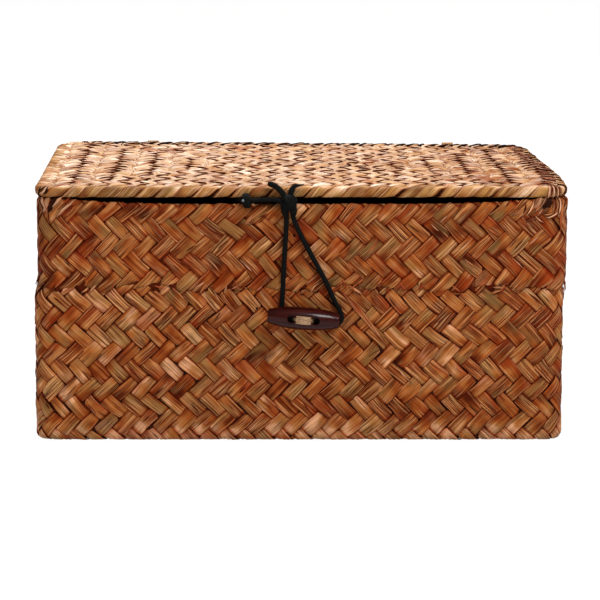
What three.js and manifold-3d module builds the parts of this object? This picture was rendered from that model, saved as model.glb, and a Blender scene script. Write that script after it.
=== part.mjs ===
// A woven lidded storage box: a plaited grass basket whose strip ends turn down over the rim, a two-layer
// plaited lid tied on at the back, and an elastic cord loop on the lid that hooks over a wooden toggle.
// Millimetres, +Z up, front towards -Y, +X to the right, origin on the floor under the middle of the base.
import * as THREE from "three";
import { mergeVertices } from "three/addons/utils/BufferGeometryUtils.js";
import Module from "manifold-3d";

const wasm = await Module();
wasm.setup();

// Overall sizes
const boxWidth = 300;
const boxDepth = 200;
const boxHeight = 147;
const frontCornerRadius = 13;
const backCornerRadius = 22;

// Gap between pieces that rest on or pass each other, and how far a cutting tool runs past what it cuts
const restGap = 0.3;
const overrun = 2;

// Basket
const wallThickness = 3.2;
const baseThickness = 3.2;
const baseEdgeRadius = 7;
const insideEdgeRadius = 4;
const sideRimSag = 1.8;
const rimSagPower = 5;

// Turned-down rim layer
const bandThickness = 0.9;
const bandHeight = 49;
const bandEdgeRound = 0.6;

// Lid
const lidThickness = 5.9;
const lidFoldWidth = 6;
const lidFoldRound = 2.1;

// Hinge ties: wound cord rings that run through the rim and the lid's edge
const hingeTieSpacing = 185;
const tieCordDiameter = 1.8;
const tieRingRadius = 7.3;
const tieTurnPitch = 2.3;
const tieTurns = 3;
const tieStartDegrees = 205;
const hingeAxisClearance = 0.4;

// Elastic cord closure
const cordDiameter = 2.8;
const knotWidth = 10.6;
const knotDepth = 9;
const knotTall = 9.8;
const knotOffCentre = -6.2;
const knotAboveRim = 1.2;
const hitchOffCentre = -31;
const hitchAboveRim = 2.5;

// Toggle and its raffia
const toggleLength = 41;
const toggleDiameter = 12;
const toggleEndDiameter = 7.8;
const toggleEndRound = 1;
const toggleSwellPower = 2.4;
const toggleOffCentre = 2;
const toggleBelowRim = 64.2;
const toggleTiltDegrees = 4.5;
const toggleHoleDiameter = 4.4;
const toggleHoleSpacing = 13.8;
const raffiaThickness = 1.4;
const raffiaWidth = 3;
const shankDiameter = 3.2;
const shankKnotDiameter = 8;
const shankKnotThickness = 3;

// Heights and places worked out from those sizes. The front and back of the rim dip by the room that the
// elastic cord takes under the lid.
const rimSag = cordDiameter + restGap;
const lidBottom = boxHeight - lidThickness;
const rimCornerHeight = lidBottom - restGap;
const rimHeight = rimCornerHeight - rimSag;
const bandInset = bandThickness + restGap;
const wallInset = bandInset + wallThickness;
const bandBottom = rimHeight - bandHeight;
const frontFace = boxDepth / 2;
const hingeY = boxDepth / 2 + hingeAxisClearance;
const hingeZ = lidBottom - restGap / 3;
const toggleHeight = rimHeight - toggleBelowRim;
const toggleOut = frontFace + restGap + cordDiameter + restGap + toggleDiameter / 2;
const knotOut = frontFace + restGap + knotDepth / 2;
const knotHeight = rimHeight + knotAboveRim;
const hitchRadius = cordDiameter + restGap;
const hitchOut = frontFace + restGap + hitchRadius + cordDiameter / 2;
const hitchHeight = rimHeight + hitchAboveRim;

// Steps that the round shapes are made of
const cornerSteps = 6;
const sideSteps = 10;
const edgeSteps = 4;
const cordSides = 8;
const turnSides = 6;
const turnSteps = 24;
const roundSteps = 28;
const barrelSteps = 12;
const bendSteps = 3;
const loopSteps = 72;
const leadSteps = 36;
const tailSteps = 8;

// Points nearer than this share of the gap are one point when a solid is made
const mergeShare = 1 / 300;

// Colours, roughness
const grass = { color: 0xa8662f, roughness: 0.72, metalness: 0 };
const grassUnder = { color: 0x9c5c2a, roughness: 0.75, metalness: 0 };
const paleGrass = { color: 0xe2b98e, roughness: 0.7, metalness: 0 };
const foldGrass = { color: 0xb08850, roughness: 0.72, metalness: 0 };
const elastic = { color: 0x15181a, roughness: 0.85, metalness: 0 };
const twine = { color: 0x8a5a30, roughness: 0.9, metalness: 0 };
const darkWood = { color: 0x4a1a12, roughness: 0.25, metalness: 0 };
const raffia = { color: 0xd8c08a, roughness: 0.8, metalness: 0 };

const part = new THREE.Group();

// Adds one named mesh to the part.
function addPiece(name, geometry, finish) {
  const mesh = new THREE.Mesh(geometry, new THREE.MeshStandardMaterial(finish));
  mesh.name = name;
  part.add(mesh);
  return mesh;
}

// A solid for cutting and joining, from a closed geometry.
function solidFrom(geometry) {
  const bare = geometry.index ? geometry.toNonIndexed() : geometry.clone();
  bare.deleteAttribute("normal");
  bare.deleteAttribute("uv");
  const merged = mergeVertices(bare, restGap * mergeShare);
  const vertProperties = new Float32Array(merged.attributes.position.array);
  const triVerts = new Uint32Array(merged.index.array);
  return new wasm.Manifold(new wasm.Mesh({ numProp: 3, vertProperties, triVerts }));
}

// A geometry from a solid that was cut or joined.
function geometryFrom(solid) {
  const mesh = solid.getMesh();
  const geometry = new THREE.BufferGeometry();
  geometry.setAttribute("position", new THREE.BufferAttribute(new Float32Array(mesh.vertProperties), 3));
  geometry.setIndex(new THREE.BufferAttribute(new Uint32Array(mesh.triVerts), 1));
  geometry.computeVertexNormals();
  return geometry;
}

// Takes each cutter away from a body.
function cutAway(body, cutters) {
  return cutters.reduce((rest, cutter) => rest.subtract(cutter), body);
}

// The plan outline of the box, drawn in by an inset: points anticlockwise, each with how far the rim sags
// there, which is nothing at the corners and the whole sag in the middle of a side.
function planOutline(inset) {
  const corners = [
    { x: 1, y: -1, radius: frontCornerRadius, from: -Math.PI / 2 },
    { x: 1, y: 1, radius: backCornerRadius, from: 0 },
    { x: -1, y: 1, radius: backCornerRadius, from: Math.PI / 2 },
    { x: -1, y: -1, radius: frontCornerRadius, from: Math.PI },
  ];
  const points = [];
  corners.forEach((corner, number) => {
    const centreX = corner.x * (boxWidth / 2 - corner.radius);
    const centreY = corner.y * (boxDepth / 2 - corner.radius);
    const radius = corner.radius - inset;
    for (let step = 0; step <= cornerSteps; step++) {
      const angle = corner.from + (step / cornerSteps) * (Math.PI / 2);
      points.push({ x: centreX + radius * Math.cos(angle), y: centreY + radius * Math.sin(angle), sag: 0 });
    }
    const sag = number % 2 === 0 ? sideRimSag : rimSag;
    const next = corners[(number + 1) % corners.length];
    const nextStart = {
      x: next.x * (boxWidth / 2 - next.radius) + (next.radius - inset) * Math.cos(next.from),
      y: next.y * (boxDepth / 2 - next.radius) + (next.radius - inset) * Math.sin(next.from),
    };
    const start = points[points.length - 1];
    for (let step = 1; step < sideSteps; step++) {
      const along = step / sideSteps;
      const fromMiddle = Math.abs(2 * along - 1);
      points.push({
        x: start.x + (nextStart.x - start.x) * along,
        y: start.y + (nextStart.y - start.y) * along,
        sag: sag * (1 - fromMiddle ** rimSagPower),
      });
    }
  });
  return points;
}

// A ring of points at one inset and height. A ring that follows the rim dips with its sag.
function planRing(inset, height, followsRim = false) {
  return planOutline(inset).map(
    (point) => new THREE.Vector3(point.x, point.y, height - (followsRim ? point.sag : 0)),
  );
}

// A closed skin over rings of equal count: each ring joins the next. The last joins the first where the
// skin closes on itself, or else the first and last ring are capped by fans.
function skinOver(rings, closesOnItself) {
  const count = rings[0].length;
  const positions = rings.flat().flatMap((point) => [point.x, point.y, point.z]);
  const faces = [];
  const bands = closesOnItself ? rings.length : rings.length - 1;
  for (let ring = 0; ring < bands; ring++) {
    for (let place = 0; place < count; place++) {
      const a = ring * count + place;
      const b = ring * count + ((place + 1) % count);
      const c = ((ring + 1) % rings.length) * count + place;
      const d = ((ring + 1) % rings.length) * count + ((place + 1) % count);
      faces.push(a, b, d, a, d, c);
    }
  }
  if (!closesOnItself) {
    const middleOf = (ring) => ring.reduce((sum, p) => sum.add(p), new THREE.Vector3()).divideScalar(count);
    const first = positions.length / 3;
    for (const ring of [rings[0], rings[rings.length - 1]]) {
      const middle = middleOf(ring);
      positions.push(middle.x, middle.y, middle.z);
    }
    const lastRing = (rings.length - 1) * count;
    for (let place = 0; place < count; place++) {
      const next = (place + 1) % count;
      faces.push(next, place, first);
      faces.push(lastRing + place, lastRing + next, first + 1);
    }
  }
  const geometry = new THREE.BufferGeometry();
  geometry.setAttribute("position", new THREE.Float32BufferAttribute(positions, 3));
  geometry.setIndex(faces);
  geometry.computeVertexNormals();
  return geometry;
}

// The ring-shaped space that a hinge tie's cord takes, all the way round the hinge axis.
function tieSpace(side) {
  const reach = tieCordDiameter / 2 + restGap;
  const halfWidth = (tieTurnPitch * (tieTurns - 1) + tieCordDiameter) / 2 + tieTurnPitch / 2 + restGap;
  const profile = [
    new THREE.Vector2(tieRingRadius - reach, -halfWidth),
    new THREE.Vector2(tieRingRadius + reach, -halfWidth),
    new THREE.Vector2(tieRingRadius + reach, halfWidth),
    new THREE.Vector2(tieRingRadius - reach, halfWidth),
    new THREE.Vector2(tieRingRadius - reach, -halfWidth),
  ];
  const space = new THREE.LatheGeometry(profile, roundSteps);
  space.rotateZ(-Math.PI / 2);
  space.translate(side * (hingeTieSpacing / 2), hingeY, hingeZ);
  return solidFrom(space);
}

// A straight round tool along Y, centred on a point.
function boreAlongY(diameter, length, centre) {
  const bore = new THREE.CylinderGeometry(diameter / 2, diameter / 2, length, roundSteps);
  bore.translate(centre.x, centre.y, centre.z);
  return solidFrom(bore);
}

// A tube along a route of points, with flat ends.
function tubeAlong(points, diameter, sides, steps) {
  const curve = new THREE.CatmullRomCurve3(points, false, "centripetal");
  const section = new THREE.Shape();
  for (let side = 0; side < sides; side++) {
    const angle = (side / sides) * 2 * Math.PI;
    const x = (diameter / 2) * Math.cos(angle);
    const y = (diameter / 2) * Math.sin(angle);
    if (side === 0) section.moveTo(x, y);
    else section.lineTo(x, y);
  }
  section.closePath();
  return new THREE.ExtrudeGeometry(section, { steps, extrudePath: curve, bevelEnabled: false });
}

// The basket: bottom, rounded lower edge, outer wall, rim, inner wall and inside floor.
function basketBody() {
  const rings = [];
  for (let step = 0; step <= edgeSteps; step++) {
    const angle = (step / edgeSteps) * (Math.PI / 2);
    const inset = bandInset + baseEdgeRadius * (1 - Math.sin(angle));
    rings.push(planRing(inset, baseEdgeRadius * (1 - Math.cos(angle))));
  }
  const wallTop = rimCornerHeight - bandInset;
  rings.push(planRing(bandInset, wallTop, true));
  rings.push(planRing(wallInset, wallTop, true));
  for (let step = 0; step <= edgeSteps; step++) {
    const angle = (step / edgeSteps) * (Math.PI / 2);
    const inset = wallInset + insideEdgeRadius * (1 - Math.cos(angle));
    rings.push(planRing(inset, baseThickness + insideEdgeRadius * (1 - Math.sin(angle))));
  }
  return skinOver(rings, false);
}

// The turned-down rim layer: over the top of the wall and down its outside.
function rimBand() {
  const top = rimCornerHeight;
  const rings = [
    planRing(0, bandBottom),
    planRing(0, top - bandEdgeRound, true),
    planRing(bandEdgeRound, top, true),
    planRing(wallInset - bandEdgeRound, top, true),
    planRing(wallInset, top - bandEdgeRound, true),
    planRing(wallInset, top - bandThickness, true),
    planRing(bandThickness, top - bandThickness, true),
    planRing(bandThickness, bandBottom),
  ];
  return skinOver(rings, true);
}

// The lid's folded edge: a round-cornered bead all round.
function lidEdgeFold() {
  const rings = [];
  const ends = [
    { inset: lidFoldRound, height: lidBottom + lidFoldRound, from: Math.PI * 1.5, turn: -1 },
    { inset: lidFoldRound, height: boxHeight - lidFoldRound, from: Math.PI, turn: -1 },
  ];
  for (const end of ends) {
    for (let step = 0; step <= edgeSteps; step++) {
      const angle = end.from + end.turn * (step / edgeSteps) * (Math.PI / 2);
      const inset = end.inset + lidFoldRound * Math.cos(angle);
      rings.push(planRing(inset, end.height + lidFoldRound * Math.sin(angle)));
    }
  }
  rings.push(planRing(lidFoldWidth, boxHeight));
  rings.push(planRing(lidFoldWidth, lidBottom));
  return skinOver(rings, true);
}

// One flat mat of the lid, inside the folded edge.
function lidMat(bottom, top) {
  const inset = lidFoldWidth + restGap;
  return skinOver([planRing(inset, bottom), planRing(inset, top)], false);
}

// A hinge tie: an unbroken cord wound round the hinge axis, through the rim and the lid's edge.
function hingeTie(side) {
  const steps = tieTurns * turnSteps;
  const rings = [];
  for (let step = 0; step <= steps; step++) {
    const turn = step / turnSteps;
    const angle = (tieStartDegrees / 180) * Math.PI + turn * 2 * Math.PI;
    const across = side * (hingeTieSpacing / 2) + (turn - tieTurns / 2) * tieTurnPitch;
    const ring = [];
    for (let corner = 0; corner < turnSides; corner++) {
      const around = (corner / turnSides) * 2 * Math.PI;
      const radius = tieRingRadius + (tieCordDiameter / 2) * Math.cos(around);
      const x = across - (tieCordDiameter / 2) * Math.sin(around);
      ring.push(new THREE.Vector3(x, hingeY + radius * Math.cos(angle), hingeZ + radius * Math.sin(angle)));
    }
    rings.push(ring);
  }
  return skinOver(rings, false);
}

// The least gap between neighbouring turns of a tie, measured on the points of its middle line.
function leastTurnGap() {
  let least = Infinity;
  const point = (step) => {
    const angle = (step / turnSteps) * 2 * Math.PI;
    const across = (step / turnSteps) * tieTurnPitch;
    return new THREE.Vector3(across, tieRingRadius * Math.cos(angle), tieRingRadius * Math.sin(angle));
  };
  for (let first = 0; first <= tieTurns * turnSteps; first++) {
    for (let second = first + turnSteps / 2; second <= tieTurns * turnSteps; second++) {
      least = Math.min(least, point(first).distanceTo(point(second)) - tieCordDiameter);
    }
  }
  return least;
}

// The main knot, larger by a margin where it cuts the cords that run into it.
function knotShape(margin) {
  const knot = new THREE.SphereGeometry(1, roundSteps / 2, roundSteps / 2);
  knot.scale(knotWidth / 2 + margin, knotDepth / 2 + margin, knotTall / 2 + margin);
  knot.translate(knotOffCentre, -knotOut, knotHeight);
  return knot;
}

// A point given by where it is across, how far out from the front face and how high.
const frontPoint = (across, out, height) => new THREE.Vector3(across, -frontFace - out, height);

// The lead: from the knot along the gap under the lid, through the hitch, then in and up into the lid.
function closureLead() {
  const centre = restGap + cordDiameter / 2;
  const gapHeight = lidBottom - centre;
  const hitchDepth = hitchOut - frontFace;
  const inner = lidFoldWidth + cordDiameter + restGap;
  const turnIn = hitchOffCentre - cordDiameter * 1.6;
  const points = [
    frontPoint(knotOffCentre, knotOut - frontFace, knotHeight),
    frontPoint(knotOffCentre - knotWidth * 0.75, centre + restGap, hitchHeight),
    frontPoint(hitchOffCentre + knotWidth * 0.75, centre + restGap, hitchHeight),
    frontPoint(hitchOffCentre + cordDiameter * 1.4, hitchDepth, hitchHeight),
    frontPoint(hitchOffCentre, hitchDepth, hitchHeight),
    frontPoint(hitchOffCentre - cordDiameter * 0.9, hitchDepth - cordDiameter * 0.2, hitchHeight),
    frontPoint(turnIn, centre, gapHeight),
    frontPoint(turnIn - cordDiameter * 0.2, -cordDiameter, gapHeight),
    frontPoint(turnIn - cordDiameter * 0.2, -inner + cordDiameter, gapHeight),
    frontPoint(turnIn - cordDiameter * 0.2, -inner, gapHeight + cordDiameter / 2),
    frontPoint(turnIn - cordDiameter * 0.2, -inner, gapHeight + cordDiameter * 1.4),
  ];
  return { tube: tubeAlong(points, cordDiameter, cordSides, leadSteps), inlet: points[points.length - 1] };
}

// The hitch round the lead: a closed ring of cord.
function closureHitch() {
  const ring = new THREE.TorusGeometry(hitchRadius, cordDiameter / 2, cordSides, roundSteps);
  ring.rotateY(Math.PI / 2);
  ring.translate(hitchOffCentre, -hitchOut, hitchHeight);
  return ring;
}

// A cut tail of the knot, bending away to one side.
function closureTail(points) {
  return tubeAlong(points, cordDiameter, cordSides, tailSteps);
}

// The loop: down from the knot, behind the toggle under its shank, round the toggle's right end and back.
function closureLoop() {
  const centre = restGap + cordDiameter / 2;
  const under = toggleHeight - raffiaWidth / 2 - cordDiameter * 1.3;
  const leftSide = toggleOffCentre - toggleLength * 0.31;
  const rightEnd = toggleOffCentre + toggleLength / 2;
  const knotDepthOut = knotOut - frontFace;
  const points = [
    frontPoint(knotOffCentre - knotWidth * 0.17, knotDepthOut, knotHeight),
    frontPoint(knotOffCentre - knotWidth * 0.22, centre + cordDiameter * 0.4, knotHeight - knotTall),
    frontPoint(leftSide + cordDiameter * 0.3, centre, toggleHeight + toggleDiameter * 2.5),
    frontPoint(leftSide, centre, toggleHeight + toggleDiameter),
    frontPoint(leftSide + cordDiameter * 0.1, centre, toggleHeight + toggleDiameter * 0.1),
    frontPoint(leftSide + cordDiameter, centre, under + cordDiameter * 0.7),
    frontPoint(leftSide + cordDiameter * 2.4, centre, under),
    frontPoint(toggleOffCentre, centre, under - cordDiameter * 0.2),
    frontPoint(rightEnd - cordDiameter * 2.6, centre, under - cordDiameter * 0.2),
    frontPoint(rightEnd - cordDiameter * 0.6, centre + cordDiameter * 0.2, under + cordDiameter * 0.1),
    frontPoint(rightEnd + cordDiameter * 0.4, centre + cordDiameter * 0.5, under + cordDiameter * 1.1),
    frontPoint(rightEnd + cordDiameter * 0.1, centre + cordDiameter * 0.4, under + cordDiameter * 2.9),
    frontPoint(rightEnd - cordDiameter, centre, toggleHeight + toggleDiameter * 0.7),
    frontPoint(toggleOffCentre + toggleLength * 0.33, centre, toggleHeight + toggleDiameter * 1.5),
    frontPoint(knotOffCentre + knotWidth * 0.27, centre + cordDiameter * 0.4, knotHeight - knotTall),
    frontPoint(knotOffCentre + knotWidth * 0.15, knotDepthOut, knotHeight),
  ];
  return tubeAlong(points, cordDiameter, cordSides, loopSteps);
}

// The toggle about its own middle, along X: a barrel with blunt ends and two holes through it.
function toggleBarrel() {
  const half = toggleLength / 2;
  const flatRadius = toggleEndDiameter / 2 - toggleEndRound;
  const profile = [new THREE.Vector2(0, -half), new THREE.Vector2(flatRadius, -half)];
  for (let row = 0; row <= barrelSteps; row++) {
    const share = (2 * row) / barrelSteps - 1;
    const swell = 1 - Math.abs(share) ** toggleSwellPower;
    const radius = (toggleEndDiameter + (toggleDiameter - toggleEndDiameter) * swell) / 2;
    profile.push(new THREE.Vector2(radius, share * (half - toggleEndRound)));
  }
  profile.push(new THREE.Vector2(flatRadius, half), new THREE.Vector2(0, half));
  const barrel = new THREE.LatheGeometry(profile, roundSteps);
  barrel.rotateZ(-Math.PI / 2);
  const holes = [-1, 1].map((side) => {
    const centre = new THREE.Vector3((side * toggleHoleSpacing) / 2, 0, 0);
    return boreAlongY(toggleHoleDiameter, toggleDiameter + 2 * overrun, centre);
  });
  return geometryFrom(cutAway(solidFrom(barrel), holes));
}

// The raffia stitch about the toggle's middle: a flat ring through both holes and round the wood between.
function toggleStitch() {
  const innerX = (toggleHoleSpacing - raffiaThickness) / 2;
  const innerY = toggleDiameter / 2 + restGap;
  const round = raffiaThickness;
  const outerX = innerX + raffiaThickness;
  const outerY = innerY + raffiaThickness;
  const outer = roundedRectangle(new THREE.Shape(), outerX, outerY, round);
  outer.holes.push(roundedRectangle(new THREE.Path(), innerX, innerY, round / 4));
  const extrusion = { depth: raffiaWidth, bevelEnabled: false, curveSegments: bendSteps };
  const ring = new THREE.ExtrudeGeometry(outer, extrusion);
  ring.translate(0, 0, -raffiaWidth / 2);
  return ring;
}

// A rectangle with rounded corners, drawn on a shape or path.
function roundedRectangle(outline, halfX, halfY, round) {
  outline.moveTo(-halfX + round, -halfY);
  outline.lineTo(halfX - round, -halfY);
  outline.absarc(halfX - round, -halfY + round, round, -Math.PI / 2, 0, false);
  outline.absarc(halfX - round, halfY - round, round, 0, Math.PI / 2, false);
  outline.absarc(-halfX + round, halfY - round, round, Math.PI / 2, Math.PI, false);
  outline.absarc(-halfX + round, -halfY + round, round, Math.PI, Math.PI * 1.5, false);
  return outline;
}

// The raffia neck behind the toggle, through the wall, with its knot on the inside.
function toggleShank() {
  const outerEnd = toggleOut - toggleDiameter / 2 - restGap - raffiaThickness - restGap;
  const innerEnd = frontFace - wallInset - restGap;
  const shankLength = outerEnd - innerEnd + shankKnotThickness / 2;
  const neck = new THREE.CylinderGeometry(shankDiameter / 2, shankDiameter / 2, shankLength, roundSteps / 2);
  neck.translate(toggleOffCentre, -outerEnd + shankLength / 2, toggleHeight);
  const knot = new THREE.SphereGeometry(1, roundSteps / 2, roundSteps / 2);
  knot.scale(shankKnotDiameter / 2, shankKnotThickness / 2, shankKnotDiameter / 2);
  knot.translate(toggleOffCentre, -innerEnd + shankKnotThickness / 2, toggleHeight);
  return geometryFrom(solidFrom(neck).add(solidFrom(knot)));
}

// Assembly: the basket with its rim layer, the hole for the raffia neck and the slots for the ties
const tieSpaces = [-1, 1].map(tieSpace);
const neckCentre = new THREE.Vector3(toggleOffCentre, -frontFace + wallInset / 2, toggleHeight);
const neckHole = boreAlongY(shankDiameter + 2 * restGap, wallInset + 2 * overrun, neckCentre);
const basket = cutAway(solidFrom(basketBody()), [...tieSpaces, neckHole]);
addPiece("basket_body", geometryFrom(basket), grass);
addPiece("rim_turned_layer", geometryFrom(cutAway(solidFrom(rimBand()), tieSpaces)), grassUnder);
addPiece("hinge_tie_left", hingeTie(-1), twine);
addPiece("hinge_tie_right", hingeTie(1), twine);

// The lid: upper and under mat inside the folded edge
const lead = closureLead();
const matThickness = (lidThickness - restGap) / 2;
const inletHole = new THREE.CylinderGeometry(1, 1, 1, roundSteps / 2).rotateX(Math.PI / 2);
inletHole.scale(cordDiameter / 2 + 2 * restGap, cordDiameter, 2 * matThickness);
inletHole.translate(lead.inlet.x, lead.inlet.y - cordDiameter / 4, lidBottom);
const upperMat = solidFrom(lidMat(boxHeight - matThickness, boxHeight));
const underMat = solidFrom(lidMat(lidBottom, lidBottom + matThickness));
addPiece("lid_upper_mat", geometryFrom(cutAway(upperMat, tieSpaces)), paleGrass);
addPiece("lid_under_mat", geometryFrom(cutAway(underMat, [...tieSpaces, solidFrom(inletHole)])), paleGrass);
addPiece("lid_edge_fold", geometryFrom(cutAway(solidFrom(lidEdgeFold()), tieSpaces)), foldGrass);

// The closure on the lid
const knotRoom = solidFrom(knotShape(restGap));
const tailRoot = (across) => frontPoint(knotOffCentre + across, knotOut - frontFace, knotHeight);
const leftTail = [
  tailRoot(-knotWidth * 0.1),
  frontPoint(knotOffCentre - knotWidth * 0.35, cordDiameter * 1.3, knotHeight + knotTall * 0.55),
  frontPoint(knotOffCentre - knotWidth * 0.65, cordDiameter * 1.1, boxHeight + cordDiameter * 0.4),
  frontPoint(knotOffCentre - knotWidth * 0.98, cordDiameter * 0.8, boxHeight + cordDiameter * 0.9),
];
const rightTail = [
  tailRoot(knotWidth * 0.15),
  frontPoint(knotOffCentre + knotWidth * 0.16, cordDiameter * 1.3, knotHeight + knotTall * 0.6),
  frontPoint(knotOffCentre + knotWidth * 0.38, cordDiameter * 1.1, boxHeight + cordDiameter * 0.5),
  frontPoint(knotOffCentre + knotWidth * 0.95, cordDiameter * 1.1, boxHeight + cordDiameter * 0.8),
];
addPiece("closure_knot", knotShape(0), elastic);
addPiece("closure_hitch", closureHitch(), elastic);
addPiece("closure_lead", geometryFrom(solidFrom(lead.tube).subtract(knotRoom)), elastic);
addPiece("closure_tail_left", geometryFrom(solidFrom(closureTail(leftTail)).subtract(knotRoom)), elastic);
addPiece("closure_tail_right", geometryFrom(solidFrom(closureTail(rightTail)).subtract(knotRoom)), elastic);
addPiece("closure_loop", geometryFrom(solidFrom(closureLoop()).subtract(knotRoom)), elastic);

// The toggle with its stitch, tilted a little, and the neck that it turns on
for (const [name, geometry, finish] of [
  ["toggle", toggleBarrel(), darkWood],
  ["toggle_stitch", toggleStitch(), raffia],
]) {
  const piece = addPiece(name, geometry, finish);
  piece.rotation.y = (toggleTiltDegrees / 180) * Math.PI;
  piece.position.set(toggleOffCentre, -toggleOut, toggleHeight);
}
addPiece("toggle_shank", toggleShank(), raffia);

console.log(`least gap between a hinge tie's turns: ${leastTurnGap().toFixed(2)} mm`);

export default part;
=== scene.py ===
"""A woven lidded storage box: plaited grass strips, twine hinge ties, an elastic cord and a wooden toggle.

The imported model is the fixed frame. Every woven layer is made of separate ribbons that run over and under each
other on a curved sheet. Shapes are worked out in millimetres, in the frame's axes, and go into their meshes in
metres. A strip that climbs to the right, seen from outside, is called rising, and one that drops is falling.
"""

import logging
import math
from collections.abc import Callable
from dataclasses import dataclass
from enum import Enum
from functools import cache

import bpy
import numpy as np
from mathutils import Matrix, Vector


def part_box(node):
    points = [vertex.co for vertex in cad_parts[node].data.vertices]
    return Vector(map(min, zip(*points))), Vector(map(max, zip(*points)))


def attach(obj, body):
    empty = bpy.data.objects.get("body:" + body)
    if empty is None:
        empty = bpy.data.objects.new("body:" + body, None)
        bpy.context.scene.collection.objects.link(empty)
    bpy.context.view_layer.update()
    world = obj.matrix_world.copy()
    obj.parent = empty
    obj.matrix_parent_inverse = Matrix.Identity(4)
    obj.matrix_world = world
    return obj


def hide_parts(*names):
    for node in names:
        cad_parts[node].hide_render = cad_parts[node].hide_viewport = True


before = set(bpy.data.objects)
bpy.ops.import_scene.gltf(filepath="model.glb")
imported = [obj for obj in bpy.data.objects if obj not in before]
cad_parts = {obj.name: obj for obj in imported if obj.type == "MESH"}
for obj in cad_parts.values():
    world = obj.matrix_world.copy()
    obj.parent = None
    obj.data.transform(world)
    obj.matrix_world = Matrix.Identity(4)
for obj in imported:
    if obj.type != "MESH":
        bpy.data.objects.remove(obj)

MM = 0.001
FULL_TURN = 2 * math.pi
QUARTER_TURN = math.pi / 2

# Where on its way under a strip its painted shade starts, and over how much of the way it grows.
COVER_START, COVER_LENGTH = 0.33, 0.35
# How far the right end of the box is drawn in at the back, from which y on, and over what length.
DRAWN_IN, DRAW_START, DRAW_LENGTH = 10.5, -75, 175
# The shares across of the two points on a strip's underside.
UNDERSIDE = (0.9, -0.9)
# The darkest and palest tone of a strip, and the span of the numbers that set strips' grain apart.
TONE_LIMITS, SEED_SPAN = (0.02, 0.98), 900
# The paces of the three sines of a drift, how much each counts, and what their sum is divided by.
DRIFT_PACES, DRIFT_WEIGHTS, DRIFT_SCALE = (1, 1.7, 2.9), (1, 0.7, 0.5), 1.6

Array = np.ndarray
Colour = tuple[float, float, float, float]
Point = tuple[float, float, float]
Stops = tuple[tuple[float, str], ...]
Look = tuple[Array | float, Array | float, Array | float]
Plies = tuple[int, float, float]
Sheet = Callable[[Array, Array, Array], Array]
log = logging.getLogger("woven_box")


class Lean(Enum):
    """Which way a family of strips runs, seen from outside."""

    RISING = 1
    FALLING = -1


def limits(node: str) -> tuple[Array, Array]:
    """Gives the lowest and highest corners of a node of the frame, in millimetres."""
    low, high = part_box(node)
    return np.array(low) / MM, np.array(high) / MM


def ease(share: Array) -> Array:
    """Goes from 0 to 1 with level ends: three times the square less twice the cube."""
    held = np.clip(share, 0, 1)
    return held * held * (3 - 2 * held)


def shade_under(level: Array) -> Array:
    """Says how much painted shade a strip gets where it goes under: 0 until near the edge that covers it, then
    quickly up to 1.
    """
    return ease(((1 - level) / 2 - COVER_START) / COVER_LENGTH)


def draw_in(x: Array, y: Array) -> Array:
    """Says how far the right end is drawn in: not at all in front, and most at the back."""
    return np.where(x < 0, 0.0, DRAWN_IN * ease((y - DRAW_START) / DRAW_LENGTH))


def drift(rng: np.random.Generator, along: Array, wavelength: float) -> Array:
    """Wanders smoothly between about -1 and 1 along a strip, as the mean of three sines of random phase.

    Args:
        rng: The source of the phases.
        along: Distance along the strip.
        wavelength: Length of the longest wave.

    Returns:
        One value for each place.
    """
    waves = zip(DRIFT_PACES, rng.uniform(0, FULL_TURN, 3), DRIFT_WEIGHTS)
    total = sum(np.sin(FULL_TURN * along * pace / wavelength + phase) * share for pace, phase, share in waves)
    return total / DRIFT_SCALE


def paint(code: str) -> Colour:
    """Turns a web colour such as #A8662F into linear red, green, blue and full alpha."""
    shares = [int(code[place : place + 2], 16) / 255 for place in (1, 3, 5)]
    linear = [share / 12.92 if share <= 0.04045 else ((share + 0.055) / 1.055) ** 2.4 for share in shares]
    return (*linear, 1.0)


class Wire:
    """A shader node's output, which sums and products use as a number."""

    def __init__(self, nodes: "Nodes", socket: bpy.types.NodeSocket) -> None:
        """Holds the output and the material's nodes."""
        self.nodes, self.socket = nodes, socket

    def _sum(self, operation: str, first: "Wire | float", second: "Wire | float" = 0.0) -> "Wire":
        """Adds one Math node."""
        return self.nodes.add("Math", {"operation": operation}, {0: first, 1: second})

    def __add__(self, other: "Wire | float") -> "Wire":
        """Gives self + other."""
        return self._sum("ADD", self, other)

    def __sub__(self, other: "Wire | float") -> "Wire":
        """Gives self - other."""
        return self._sum("SUBTRACT", self, other)

    def __rsub__(self, other: float) -> "Wire":
        """Gives other - self."""
        return self._sum("SUBTRACT", other, self)

    def __mul__(self, other: "Wire | float") -> "Wire":
        """Gives self * other."""
        return self._sum("MULTIPLY", self, other)

    __radd__ = __add__
    __rmul__ = __mul__

    def held(self) -> "Wire":
        """Holds the value between 0 and 1."""
        return self.nodes.add("Clamp", {}, {0: self})

    def wave(self) -> "Wire":
        """Gives the sine of the value."""
        return self._sum("SINE", self)

    def above(self, start: float, slope: float) -> "Wire":
        """Grows from 0 at the start up to 1, by the slope."""
        return ((self - start) * slope).held()

    def below(self, start: float, slope: float) -> "Wire":
        """Is 0 from the start upwards, and grows up to 1 below it, by the slope."""
        return ((start - self) * slope).held()

    def near(self, middle: float, slope: float) -> "Wire":
        """Falls from 1 at the middle to 0 on both sides, by the slope."""
        return (1 - self._sum("ABSOLUTE", self - middle) * slope).held()


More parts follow.
